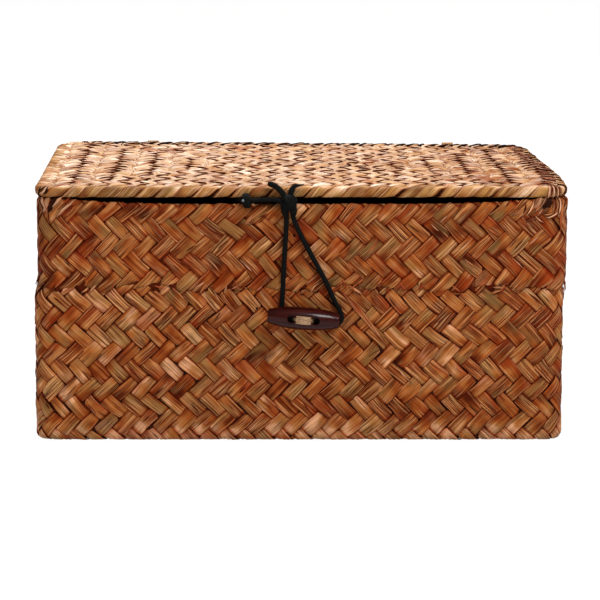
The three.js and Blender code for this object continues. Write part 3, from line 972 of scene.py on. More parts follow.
@dataclass(frozen=True)
class Sliver:
    """A loose fibre on a woven sheet: its middle, which way it runs, its size, tone, lift, bow and depth."""

    along: float
    down: float
    turn: float
    length: float
    width: float
    tone: float
    lift: float = 1.1
    bow: float = 0.0
    depth: float = 0.3

    # Points along it, the share of its length that a tip takes, the tip's width, its dip and the spread of tone.
    rows, tip, tip_width, dip, tone_spread = 13, 0.4, 0.15, 0.35, 0.04
    section = {"crown": 0.12, "width_spread": 0.0, "waver": 0.1, "ragged": 0.15, "groove": 0.03, "top_points": 5}

    def lay(self, skin: Skin, shell: Shell, rng: np.random.Generator) -> None:
        """Lays the fibre on a shell. It is pointed at both ends, and its ends dip by the fourth power of the
        share of the way out.

        Args:
            skin: The mesh to add to.
            shell: The sheet that it lies on.
            rng: Source of its grooves.
        """
        share = np.linspace(-1, 1, self.rows)
        turn = math.radians(self.turn)
        run, bend = share * self.length / 2, self.bow * (1 - share**2)
        along = self.along + run * math.cos(turn) + bend * math.sin(turn)
        down = self.down - run * math.sin(turn) + bend * math.cos(turn)
        rise = self.lift - (self.dip + self.depth / 2) * share**4
        weaver = Weaver(skin, Blade(self.width, self.depth, **self.section), rng, (self.tone, self.tone_spread))
        weaver.lay(shell.place, along, down, rise, (self.length * self.tip,) * 2, point=self.tip_width)


@dataclass
class WovenShell:
    """One woven layer that goes all round the box."""

    shell: Shell
    strips: int
    pitch_down: float
    top: float
    bottom: float
    blade: Blade
    tone: tuple[float, float]
    first_row: float = 0.25
    steps: int = 4
    end_spread: float = 0.0
    end_tuck: float = 0.0
    # Painted light: the foot grows paler, as light bounced from the floor, by this much, starting this far above the
    # lower edge and over this length. Painted shade: the tone falls toward the right end.
    foot_bounce: float = 0.0
    foot_bounce_from: float = 15.5
    foot_bounce_blend: float = 8.0
    right_shade: float = 0.0
    loose_tones: tuple[float, ...] = (0.08, 0.15, 0.25, 0.5, 0.62, 0.74)

    def __post_init__(self) -> None:
        """Works out the distance round the outline between neighbouring strips, and where the first row is."""
        self.pitch = self.shell.outline.length / self.strips
        self.start = self.first_row * self.pitch_down

    def weave(self, lean: Lean, seed: int) -> Skin:
        """Weaves one family. In crossings k below the rim, strip n is at pitch * (n - lean * k / 2) round the
        outline, and rows of two crossings turn by turn show the rising and the falling family.

        Args:
            lean: The family.
            seed: Seed of its random draws.

        Returns:
            The mesh's grids.
        """
        rng = np.random.default_rng(seed)
        weaver = Weaver(Skin(), self.blade, rng, self.tone)
        half_pitch = self.pitch_down / 2

        def sign_at(crossing: Array) -> Array:
            """Gives 1 where a strip of the family is over."""
            return lean.value * np.where(np.mod(crossing, 4) < 2, 1, -1)

        for strip in range(self.strips):
            lowest = (self.bottom + rng.uniform(-1, 1) * self.end_spread - self.start) / half_pitch
            highest = (self.top - self.start) / half_pitch
            places = np.linspace(highest, lowest, math.ceil((lowest - highest) * self.steps) + 1)
            level, cover = self.blade.levels(sign_at, places)
            down = self.start + places * half_pitch
            rise = self.blade.ride * level - self.end_tuck * (1 - ease((places[-1] - places) / 0.8))
            taper = (0.0, rng.uniform(0.2, 2.0)) if self.end_tuck else (0.0, 0.0)
            cut = lean.value * rng.normal(0.7, 0.5) if self.end_tuck else 0.0
            along = self.pitch * (strip - lean.value * places / 2)
            # Painted light: paler near the foot, as light bounced from the floor. Painted shade: darker toward the
            # right end and paler toward the left, as the light falls.
            pale = self.foot_bounce * ease((down - self.bottom + self.foot_bounce_from) / self.foot_bounce_blend)
            pale = pale - self.right_shade * np.sin(along * FULL_TURN / self.shell.outline.length)
            weaver.lay(self.shell.place, along, down, rise, taper, cover, pale, rng.uniform(0.6, 1.0), cut)
        return weaver.skin

    def loosen(self, count: int, seed: int) -> list[Sliver]:
        """Picks torn fibres, each along a strip where it lies over two crossings.

        Args:
            count: How many.
            seed: Seed of the random draws.

        Returns:
            The fibres.
        """
        rng = np.random.default_rng(seed)
        rows = max(0, math.ceil(self.top / self.pitch_down)), int((self.bottom - self.start) / self.pitch_down)
        lift = self.blade.ride + self.blade.crown + self.blade.thickness / 2 + 0.08
        slivers = []
        for _ in range(count):
            pair = int(rng.integers(*rows))
            lean = 1 if pair % 2 == 0 else -1
            crossing = 2 * pair + 0.5 + rng.normal(0, 0.25)
            side = rng.uniform(-2.8, 2.8) * 0.7
            along = self.pitch * (int(rng.integers(0, self.strips)) - lean * crossing / 2) + lean * side
            down = self.start + crossing * self.pitch_down / 2 + side
            turn = lean * (45 + rng.normal(0, 5))
            size = rng.uniform(5, 12), rng.uniform(0.35, 1.1)
            tone = float(rng.choice(self.loose_tones))
            slivers.append(Sliver(along, down, turn, *size, tone, lift, rng.normal(0, 0.3)))
        return slivers


@dataclass
class WovenMat:
    """A flat mat woven in rings that follow its border and meet on mitres at the corners."""

    mat: Mat
    pitch_across: float
    pitch_deep: float
    blade: Blade
    tone: tuple[float, float]
    steps: int = 3
    # Painted shade toward the right end, as the light falls off; it also scales the strips' own darker patches there.
    right_shade: float = 0.0
    ring_shift: int = -1

    def weave(self, lean: Lean, seed: int) -> Skin:
        """Weaves one family. Crossing k of strip n is at half pitches n + k to the right and lean * (k - n) to
        the back, and rings of two crossings turn by turn show the rising and the falling family.

        Args:
            lean: The family.
            seed: Seed of its random draws.

        Returns:
            The mesh's grids.
        """
        rng = np.random.default_rng(seed)
        weaver = Weaver(Skin(), self.blade, rng, self.tone)
        half_x, half_y = self.pitch_across / 2, self.pitch_deep / 2
        reach_x, reach_y = self.mat.half_width / half_x, self.mat.half_depth / half_y
        longer = 2 * round((reach_x - reach_y) / 2)
        most = math.floor((reach_x + reach_y) / 2)
        for strip in range(-most, most + 1):
            low = max(-reach_x - strip, strip - reach_y)
            high = min(reach_x - strip, strip + reach_y)
            if high - low < 1:
                continue

            def sign_at(crossing: Array, number: int = strip) -> Array:
                """Gives 1 where this strip is over."""
                ring = np.maximum(np.abs(number + crossing) - longer, np.abs(crossing - number))
                return lean.value * np.where(np.mod(ring + self.ring_shift, 4) < 2, 1, -1)

            places = np.linspace(low, high, math.ceil((high - low) * self.steps) + 1)
            level, cover = self.blade.levels(sign_at, places)
            x, y = (strip + places) * half_x, lean.value * (places - strip) * half_y
            # Painted shade: the tone falls toward the right end as the light falls off; the patches are strips' own
            # darker tone.
            patch = np.clip(drift(rng, x, 26) - 0.25, 0, 1) * ease((x - 70) / 40) * 5
            pale = -self.right_shade * (ease((x - 20) / 100) + patch)
            weaver.lay(self.mat.place, x, y, self.blade.ride * level, cover=cover, pale=pale)
        return weaver.skin


# Single loose fibres that show in the photograph, and dark marks of painted shade whose tone is 0 or near it: along,
# down, turn, length, width, tone, lift and bow.
WALL_SLIVERS = [Sliver(*row) for row in (
    (36.3, 65.2, -50.2, 43, 3.1, 0.62, 1.2, -0.8), (156, 37, -88, 40, 0.9, 0.1, 1.5, 0.3),
    (-24, 60, 60, 1.6, 1.3, 0, 1.1),
)]
LID_SLIVERS = [Sliver(*row) for row in (
    (139.2, 18.6, 78, 9.5, 1.2, 1, 1.15), (140.5, 18.4, 82, 9.5, 0.6, 0.2, 1.15),
    (141.7, 18.5, 86, 9.5, 0.9, 1, 1.15), (142.8, 18.3, 88, 9.5, 0.5, 0.2, 1.15),
    (143.8, 18.4, 92, 9, 0.9, 0.95, 1.15), (144.9, 18.4, 94, 9, 0.5, 0.25, 1.1),
    (146.2, 18, 96, 8.5, 0.8, 0.9, 1.1), (152, 17, 75, 9, 1, 0.06, 0.8),
    (-146.5, 16.5, 35, 8, 1, 0.06, 0.8, 1.5), (-145.3, 17.8, 42, 7, 1.4, 1, 1.1, 1.5),
    (-143.2, 18.6, 70, 4, 2.4, 0.06, 1), (-149.5, 19.5, 60, 6, 0.9, 0.05, 0.8, 1),
    (-143.5, 18.5, 12, 6, 0.7, 0.3, 0.7, 0.8),
)]
BAND_SLIVERS = [Sliver(*row) for row in (
    (138, 3.4, 62, 10, 3.9, 0, 0.95), (137.6, 7.2, 52, 6, 2.6, 0.22, 1),
    (136.2, 3.8, 56, 11.5, 1.4, 1, 1.35, -1), (140.9, 4.9, 90, 10, 1.1, 0.85, 1.3, 1),
    (142.1, 5.2, 90, 9, 0.7, 0.12, 1.2, 0.9), (143.1, 5.2, 88, 10.5, 0.9, 0.7, 1.3, 1),
    (144.2, 5.5, 90, 9, 0.7, 0.12, 1.2, 0.8), (145.2, 5, 92, 11, 1.2, 0.88, 1.35, 0.8),
    (141.6, 9.8, 28, 8, 1.2, 0.92, 1.35, 0.8), (139.6, 9, 15, 6, 0.9, 0.7, 1.3, 0.6),
    (148, 9.5, 90, 20, 2.6, 0.55, 1.1), (132, 3.2, 46, 11, 3.2, 0.9, 1.15),
    (133.8, 5.4, 55, 8, 1.6, 0.38, 1.2, -0.5), (132.8, 8.4, 30, 8, 2, 0.4, 1.2, 0.6),
    (134.9, 8.2, 65, 5, 1.2, 0.95, 1.3, -0.4), (130.6, 7, 62, 9, 1, 0.15, 1.15, -0.5),
    (128.6, 5.6, 66, 9, 1.2, 0.75, 1.25, 0.6), (126.8, 7.6, 55, 8, 1, 0.6, 1.2, -0.6),
    (129.4, 10.6, 20, 8, 1.2, 0.3, 1.2, 0.8), (125.4, 5, 80, 7, 0.9, 0.35, 1.2, 0.4),
    (121.8, 7, 28, 7, 1.4, 0.12, 1.1, 0.4), (130.2, 12.8, 18, 7, 1.3, 0.12, 1.1, -0.4),
    (134.5, 12.2, -40, 8, 0.9, 0.85, 1.25, 0.6), (153.5, 3, 80, 5.5, 3.4, 0.6, 1.1, 0.4),
    (-140.4, 3.4, 56, 11.5, 3, 0, 0.95), (-143.8, 2.8, 66, 9.5, 3.4, 0.85, 1.15),
    (-146.2, 3.6, -52, 10, 2.2, 0.9, 1.3, -0.6), (-147.6, 4.8, -56, 8, 1, 0.06, 1.25),
    (-146.3, -0.2, 25, 6.5, 1.7, 0.88, 1.3), (-142.2, 7.6, -80, 12, 0.9, 0.1, 1.15, 0.6),
    (-137, 2.3, 38, 9, 1.4, 1, 1.2, -0.5), (-133.5, 2.8, 37, 10, 0.7, 0.3, 1.2),
    (-132, 4.2, 36, 13, 1.2, 0.95, 1.2), (-131.5, 5.8, 36, 12, 1.6, 0.4, 1.2),
    (-134.5, 6.8, 37, 9, 1.1, 0.85, 1.2), (-130, 7.6, 38, 9, 1.4, 0.38, 1.2),
    (-151.5, 9, 80, 9, 1.2, 0.45, 1.2, 0.6), (-29.6, 10.2, 50, 8.5, 1.9, 0.75, 1, 0.3),
    (-27.8, 11.2, 50, 7.5, 0.6, 0.1, 1.1, 0.3), (-20.5, 6.6, 20, 6, 1, 0.4, 1, 0.3),
    (-22, 9.6, 42, 6, 0.8, 0.35, 1, 0.3), (-4.3, 17.6, 0, 1.6, 1.4, 0, 0.95), (-3, 42, 30, 7, 0.9, 0.9, 0.9),
)]


@dataclass
class Basket:
    """The plaited basket: walls that turn under at the foot, the rim's turned-down layer and the base."""

    sizes: Sizes
    outline: Outline
    stance: Stance
    strips: int = 92
    pitch_down: float = 10.2
    wall_inset: float = 2.35
    foot_round: float = 1.6
    foot_height: float = 1.27
    foot_turn_in: float = 3.0
    wall_stop: float = 2.4
    band_inset: float = 0.85
    rim_round: float = 1.55
    rim_drop: float = 2.3
    band_inside: float = 9.0
    base_inset: float = 8.5
    base_height: float = 2.9
    wander: float = 0.9
    wall_fibres: int = 420
    band_fibres: int = 220
    seam_fibres: int = 150
    below_seam: float = 4.0
    lining_size: tuple[int, int] = (400, 70)
    lining_half: float = 0.06
    seeds: tuple[int, int, int] = (11, 21, 31)
    fray_seed: int = 81

    def wall(self) -> WovenShell:
        """The single woven layer from under the foot up to the rim.

        Returns:
            The layer.
        """
        upright = self.stance.rim - self.wall_stop - self.foot_height - self.foot_round
        runs = ((self.foot_turn_in, 0.0), (self.foot_round * QUARTER_TURN, QUARTER_TURN), (upright, 0.0))
        start = self.wall_inset + self.foot_round + self.foot_turn_in
        profile = Profile(start, self.foot_height, -QUARTER_TURN, runs)
        lowest = profile.length + self.wall_stop
        shell = Shell(self.outline, self.stance, profile, lowest, self.wander)
        blade = Blade(7.5, thickness=0.44, crown=0.12, ride=0.55, width_spread=0.7, edge_shade_power=14.0)
        size = (self.strips, self.pitch_down, self.wall_stop, lowest)
        return WovenShell(shell, *size, blade, tone=(0.53, 0.11), foot_bounce=0.5, right_shade=0.1)

    def band(self) -> WovenShell:
        """The strips' ends, turned over the rim and laid down the outside.

        Returns:
            The layer.
        """
        lowest = self.stance.seam - self.wall_inset
        upright = self.stance.rim - self.rim_drop - lowest
        runs = ((upright, 0.0), (self.rim_round * 2 * QUARTER_TURN, 2 * QUARTER_TURN), (self.band_inside, 0.0))
        profile = Profile(self.band_inset, lowest, 0.0, runs)
        shell = Shell(self.outline, self.stance, profile, upright + self.rim_drop, self.wander)
        blade = Blade(7.5, thickness=0.4, crown=0.11, ride=0.42, width_spread=0.7, edge_shade_power=14.0)
        size = (self.strips, self.pitch_down, shell.rim_at - profile.length, self.stance.rim - self.stance.seam)
        return WovenShell(shell, *size, blade, tone=(0.455, 0.125), end_spread=2.2, end_tuck=0.95)

    def base(self) -> WovenMat:
        """The woven floor of the basket.

        Returns:
            The mat.
        """
        size = (self.sizes.half_width - self.base_inset, self.sizes.half_depth - self.base_inset, self.base_height)
        blade = Blade(7.0, thickness=0.45, crown=0.12, ride=0.42, top_points=5)
        mat = Mat(*size, facing=1, stance=self.stance)
        return WovenMat(mat, self.outline.length / self.strips, self.pitch_down, blade, tone=(0.5, 0.17))

    def lining(self, wall: WovenShell) -> Skin:
        """One thin plain sheet inside the wall's weave, which closes the openings between its strips; it is dark as
        painted shade.

        Args:
            wall: The weave.

        Returns:
            The mesh's grid.
        """
        rows, columns = self.lining_size
        down = np.linspace(wall.bottom - 1, wall.top + 1, columns)
        lift = np.repeat([self.lining_half, -self.lining_half], columns)
        return self.outline.round_skin(wall.shell.place, rows, np.concatenate([down, down[::-1]]), lift)

    def frays(self, wall: WovenShell, band: WovenShell) -> tuple[Skin, Skin]:
        """The loose fibres: along the strips, at the seam, and the ones that the photograph shows singly.

        Args:
            wall: The lower layer.
            band: The turned-down layer.

        Returns:
            The grids of the fibres, and of the dark patches of painted shade in openings, whose tone is 0.
        """
        rng = np.random.default_rng(self.fray_seed)
        skin, holes = Skin(), Skin()
        for sliver in wall.loosen(self.wall_fibres, self.fray_seed + 1):
            if sliver.down > band.bottom + self.below_seam:
                sliver.lay(skin, wall.shell, rng)
        for sliver in band.loosen(self.band_fibres, self.fray_seed + 2) + BAND_SLIVERS:
            sliver.lay(skin if sliver.tone else holes, band.shell, rng)
        for sliver in WALL_SLIVERS:
            sliver.lay(skin if sliver.tone else holes, wall.shell, rng)
        for place in rng.uniform(0, self.outline.length, self.seam_fibres):
            turn = rng.choice((-45, 45)) + rng.normal(0, 18)
            down = band.bottom + rng.uniform(-2.5, 1.5)
            size = rng.uniform(4, 9), rng.uniform(0.5, 1.4)
            Sliver(place, down, turn, *size, rng.uniform(0.3, 0.8), lift=0.55).lay(skin, band.shell, rng)
        return skin, holes

    def build(self) -> None:
        """Makes the basket's pieces."""
        wall, band, base = self.wall(), self.band(), self.base()
        in_wall = ("box", "wall_grass", "basket_body")
        self.lining(wall).piece("wall_shade_lining", SHADE_GRASS, *in_wall)
        fibres, holes = self.frays(wall, band)
        fibres.piece("loose_fibres", FRAYED_GRASS, *in_wall)
        # Painted shade: dark patches where openings in the weave lie in shade.
        holes.piece("opening_shade_patches", SHADE_GRASS, *in_wall)
        in_rim = ("box", "rim_grass", "rim_turned_layer")
        for number, lean in enumerate(Lean):
            rows = zip((wall, band, base), ("wall", "rim", "base"), self.seeds, (in_wall, in_rim, in_wall))
            for layer, label, seed, place in rows:
                name = f"{label}_strips_{lean.name.lower()}"
                layer.weave(lean, seed + number).piece(name, WALL_GRASS, *place)


@dataclass
class Lid:
    """The lid: an upper and an under mat, and the strips' ends wrapped slantwise round its edge."""

    sizes: Sizes
    outline: Outline
    stance: LidSet
    strips: int = 92
    pitch_across: float = 10.54
    pitch_deep: float = 10.2
    mat_inset: float = 4.5
    mat_dip: float = 0.9
    upper_drop: float = 1.45
    under_rise: float = 1.3
    wrap_inset: float = 0.5
    wrap_round: float = 1.7
    wrap_under: float = 6.0
    wrap_over: float = 8.0
    wrap_steps: int = 26
    shingle: float = 0.62
    edge_shingle: float = 0.3
    slit_pitch: float = 7.34
    slit_turn: float = 58.0
    slit_reach: float = 8.0
    core_size: tuple[int, int] = (360, 16)
    core_lift: float = -0.75
    seeds: tuple[int, int] = (41, 51)
    wrap_seed: int = 61
    slit_seed: int = 64

    def mat(self, height: float, facing: int, *look: object) -> WovenMat:
        """One woven mat of the lid.

        Args:
            height: The height of its middle.
            facing: 1 if it faces up, -1 if down.
            look: The strips' section, their tones, and the mat's further values.

        Returns:
            The mat.
        """
        size = (self.sizes.half_width - self.mat_inset, self.sizes.half_depth - self.mat_inset, height)
        return WovenMat(Mat(*size, facing, self.stance, self.mat_dip), self.pitch_across, self.pitch_deep, *look)

    def edge(self, further: float = 0.0) -> Shell:
        """The lid's edge: from under the lid, round the outside, and in over the top.

        Args:
            further: How much further in it goes over the top than the wraps do.

        Returns:
            The sheet.
        """
        low = self.sizes.lid_bottom + self.wrap_inset
        high = self.sizes.lid_top - self.wrap_inset
        turn = (self.wrap_round * QUARTER_TURN, QUARTER_TURN)
        upright = (high - low - 2 * self.wrap_round, 0.0)
        runs = ((self.wrap_under, 0.0), turn, upright, turn, (self.wrap_over + further, 0.0))
        profile = Profile(self.wrap_inset + self.wrap_round + self.wrap_under, low, -QUARTER_TURN, runs)
        return Shell(self.outline, self.stance, profile, profile.length)

    def wraps(self) -> Skin:
        """Wraps the edge. Each wrap climbs as it goes round, and lies over its neighbour's edge like a shingle.

        Returns:
            The mesh's grids.
        """
        rng = np.random.default_rng(self.wrap_seed)
        shell = self.edge()
        length = shell.rim_at
        blade = Blade(7.8, thickness=0.5, crown=0.2, roll=0.03, groove=0.07, edge_shade_power=6.0)
        weaver = Weaver(Skin(slenderness=1.2), blade, rng, (0.37, 0.1))
        slope = -np.concatenate([np.linspace(-1, 1, blade.top_points), UNDERSIDE])
        shares = np.linspace(0, 1, self.wrap_steps)
        tucked = ease((shares - 0.84) / 0.16) * 1.1 + (1 - ease(shares / 0.14)) * 0.6

        def shingled(along: Array, down: Array, lift: Array) -> Array:
            """Puts points on the edge, with each strip tipped over its neighbour."""
            height = self.edge_shingle + (self.shingle - self.edge_shingle) * ease((0.5 - down / length) / 0.15)
            return shell.place(along, down, lift + slope * height)

        for strip in range(self.strips):
            slant = rng.normal(1.0, 0.08)
            along = self.outline.length / self.strips * (strip + rng.normal(0, 0.06))
            along = along + length * (shares - 0.5) * slant
            # Painted light: the tone rises toward the top of each wrap, as the sheen on the lid's top, and rises
            # toward the right end and falls toward the left, as the light falls.
            pale = 0.33 * ease((shares - 0.5) / 0.2) + 0.14 * np.sin(along * FULL_TURN / self.outline.length)
            weaver.lay(shingled, along, length * (1 - shares), rng.normal(0, 0.06) - tucked, pale=pale)
        return weaver.skin

    def slits(self) -> tuple[Skin, Skin]:
        """The painted shade in the slits between the strips' ends, as thin dark lenses that stand on the top.

        Returns:
            The grids of the dark ones along the back edge, and of the red ones and pale fibres along the right end;
            the dark and red ones are painted shade.
        """
        rng = np.random.default_rng(self.slit_seed)
        back, right = Skin(), Skin()
        shell = self.edge(self.slit_reach)
        first, turn, last = self.outline.stations[[2, 3, 5], 0]
        for place in np.arange(turn + 12, last + 14, self.slit_pitch):
            size = rng.uniform(13, 20), rng.uniform(1.4, 2.1)
            lean = self.slit_turn + rng.normal(0, 5)
            middle = place + rng.normal(0, 0.8), rng.uniform(5.0, 7.0)
            Sliver(*middle, lean, *size, 0.05, rng.uniform(0.8, 1.1), depth=1.2).lay(back, shell, rng)
        for place in np.arange(first, turn + 20, self.slit_pitch):
            size = rng.uniform(6, 12), rng.uniform(1.0, 1.8)
            lean, down = self.slit_turn + rng.normal(0, 8), rng.uniform(7, 13)
            Sliver(place, down, lean, *size, 0.1, 1.0, depth=0.9).lay(right, shell, rng)
            size = rng.uniform(7, 11), rng.uniform(0.9, 1.5)
            Sliver(place + 3.6, down, lean, *size, rng.uniform(0.85, 1.0), 0.95, depth=0.4).lay(right, shell, rng)
        for sliver in LID_SLIVERS:
            sliver.lay(right if sliver.tone > 0.1 else back, shell, rng)
        return back, right

    def core(self) -> Skin:
        """The folded ends inside the edge, as one plain ring that closes the gaps between the wraps; it is dark as
        painted shade.

        Returns:
            The mesh's grid.
        """
        shell = self.edge()
        rows, columns = self.core_size
        down = np.linspace(shell.rim_at - 2, 3, columns)
        return self.outline.round_skin(shell.place, rows, down, np.full(columns, self.core_lift))

    def build(self) -> None:
        """Makes the lid's pieces."""
        lay = {"width_spread": 0.6, "waver": 0.45, "roll": 0.07, "edge_shade_power": 5.0, "edge_drop": 0.35}
        upper = Blade(7.0, thickness=0.9, crown=0.2, ride=1.35, bend=0.5, delay=0.13, **lay)
        upper = self.mat(self.sizes.lid_top - self.upper_drop, 1, upper, (0.58, 0.12), 5, 0.17)
        under = Blade(7.1, thickness=0.5, crown=0.2, ride=0.5, top_points=5)
        under = self.mat(self.sizes.lid_bottom + self.under_rise, -1, under, (0.5, 0.1))
        in_upper = (LID_SHEEN_GRASS, "lid", "lid_grass", "lid_upper_mat")
        in_under = (WALL_GRASS, "lid", "wall_grass", "lid_under_mat")
        for number, lean in enumerate(Lean):
            rows = zip((upper, under), ("lid", "lid_under"), self.seeds, (in_upper, in_under))
            for mat, label, seed, place in rows:
                mat.weave(lean, seed + number).piece(f"{label}_strips_{lean.name.lower()}", *place)
        back, right = self.slits()
        for name, skin, finish in (
            ("lid_edge_wraps", self.wraps(), FOLD_GRASS),
            ("lid_back_slit_shade", back, SHADE_GRASS),
            ("lid_end_slit_shade_and_fibres", right, FRAYED_GRASS),
            ("lid_edge_shaded_core", self.core(), SHADE_GRASS),
        ):
            skin.piece(name, finish, "lid", "fold_grass", "lid_edge_fold")


def smooth_route(points: Array, count: int) -> Array:
    """Runs one smooth curve through points: a centripetal spline, whose slope at a point comes from its
    neighbours, each weighted by the root of its distance.

    Args:
        points: The points, in order.
        count: How many points to give back, evenly spread over the spans.

    Returns:
        The curve's points.
    """
    held = np.concatenate([[2 * points[0] - points[1]], points, [2 * points[-1] - points[-2]]])
    gaps = np.sqrt(np.linalg.norm(np.diff(held, axis=0), axis=1))[:, None]
    slopes = np.diff(held, axis=0) / gaps
    chords = (held[2:] - held[:-2]) / (gaps[:-1] + gaps[1:])
    tangents = slopes[:-1] - chords + slopes[1:]
    place = np.linspace(0, len(points) - 1, count)
    span = np.minimum(place.astype(int), len(points) - 2)
    share = (place - span)[:, None]
    start, end = points[span], points[span + 1]
    leave, arrive = tangents[span] * gaps[span + 1], tangents[span + 1] * gaps[span + 1]
    bend, twist = 3 * (end - start) - 2 * leave - arrive, 2 * (start - end) + leave + arrive
    return start + leave * share + bend * share**2 + twist * share**3


def frames_along(path: Array, closed: bool) -> tuple[Array, Array]:
    """Carries a pair of sideways directions along a path without twisting it.

    Args:
        path: The path's points.
        closed: True if its end joins its start. The leftover turn is then spread along it.

    Returns:
        The two directions at each point.
    """
    ahead = np.roll(path, -1, 0) - np.roll(path, 1, 0) if closed else np.gradient(path, axis=0)
    ahead /= np.linalg.norm(ahead, axis=1)[:, None]
    side = np.empty_like(path)
    guess = np.cross(ahead[0], (0.31, 0.22, 0.92))
    for row, direction in enumerate(ahead):
        guess = guess - direction * (guess @ direction)
        guess /= np.linalg.norm(guess)
        side[row] = guess
    other = np.cross(ahead, side)
    if closed:
        last = side[-1] - ahead[0] * (side[-1] @ ahead[0])
        left = -math.atan2(last @ other[0], last @ side[0])
        turn = (np.arange(len(path)) / len(path) * left)[:, None]
        side, other = side * np.cos(turn) + other * np.sin(turn), other * np.cos(turn) - side * np.sin(turn)
    return side, other


def add_tube(
    skin: Skin, path: Array, radius: Array | float, seed: float, sides: int = 12, plies: Plies = (0, 0.0, 1.0),
    closed: bool = False,
) -> None:
    """Adds a round or plied cord along a path.

    Args:
        skin: The mesh to add to.
        path: The middle line.
        radius: Its radius, along the path or everywhere.
        seed: Sets its grain apart.
        sides: Points round it.
        plies: How many yarns are twisted together, how deep the grooves between them are as a share of the
            radius, and the length of one turn of the twist.
        closed: True if its end joins its start.
    """
    side, other = (direction[:, None] for direction in frames_along(path, closed))
    along = np.concatenate([[0], np.cumsum(np.linalg.norm(np.diff(path, axis=0), axis=1))])
    around = np.arange(sides) / sides
    angle = around * FULL_TURN
    count, depth, lay = plies
    groove = 1 - depth * np.abs(np.sin(count / 2 * (angle - along[:, None] * FULL_TURN / lay)))
    reach = np.broadcast_to(radius, along.shape)[:, None] * (2 * groove - groove**2)
    offset = side * (np.cos(angle) * reach)[..., None] + other * (np.sin(angle) * reach)[..., None]
    skin.add(path[:, None] + offset, along, around, seed, closed=closed)


def points_of(x: Array | float, y: Array | float, z: Array | float) -> Array:
    """Joins coordinates, of which some may be the same for all points, into points."""
    return np.stack(np.broadcast_arrays(x, y, z), -1)


@dataclass
class HingeTies:
    """The two windings of twine at the back that tie the lid on, each one cord about the hinge axis."""

    axis_y: float
    axis_z: float
    spacing: float = 185.0
    ring_radius: float = 6.4
    cord_radius: float = 0.55
    plies: Plies = (2, 0.4, 3.4)
    pitch: float = 1.15
    turns: int = 6
    start: float = 205.0
    steps: int = 60
    sink: float = 1.3

    def build(self) -> None:
        """Makes one winding on each side: it goes round the axis while it moves along it."""
        for side, name in ((-1, "left"), (1, "right")):
            turn = np.linspace(0, self.turns, self.turns * self.steps)
            angle = math.radians(self.start) + turn * FULL_TURN
            x = side * self.spacing / 2 + (turn - self.turns / 2) * self.pitch
            y = self.axis_y + self.ring_radius * np.cos(angle)
            rise = self.ring_radius * np.sin(angle)
            z = self.axis_z + rise * np.where(rise > 0, 1 - self.sink * max(side, 0) / self.ring_radius, 1)
            skin = Skin()
            add_tube(skin, points_of(x, y, z), self.cord_radius, side, 10, self.plies)
            skin.piece(f"hinge_twine_{name}", TWINE, "box", "tie_cord", f"hinge_tie_{name}")


LOOP_ROUTE = (
    (-8, 4.8, 138.9), (-7.7, 2.82, 129.1), (-9, 1.7, 103.5), (-9.9, 1.7, 85.5), (-10.1, 1.7, 74.7),
    (-7.91, 1.7, 70.32), (-3.99, 1.7, 68.36), (2, 1.7, 67.8), (15.22, 1.7, 67.8), (20.82, 2.26, 68.64),
    (23.62, 3.1, 71.44), (22.78, 2.82, 76.48), (19.7, 1.7, 81.9), (15.53, 1.7, 91.5), (-3.34, 2.82, 129.1),
    (-4.61, 4.8, 138.9),
)
LEAD_ROUTE = (
    (-6.2, 4.8, 138.9), (-14.15, 2, 140.2), (-23.05, 2, 140.2), (-27.08, 4.6, 140.2), (-30.2, 4, 140),
    (-32, 1.7, 139.4), (-33.6, -2.8, 139.4), (-36.04, -6.3, 139.4), (-36.04, -9.1, 140.8),
    (-36.04, -9.1, 143.32),
)
LEFT_TAIL_ROUTE = (
    (-7.26, 4.8, 138.9), (-9.91, 3.64, 144.29), (-13.6, 3.08, 148), (-18.1, 2.24, 149.9),
)
RIGHT_TAIL_ROUTE = (
    (-4.61, 4.8, 138.9), (-5.1, 3.64, 144.6), (-3.2, 3.08, 148), (2.3, 3.08, 149.2),
)


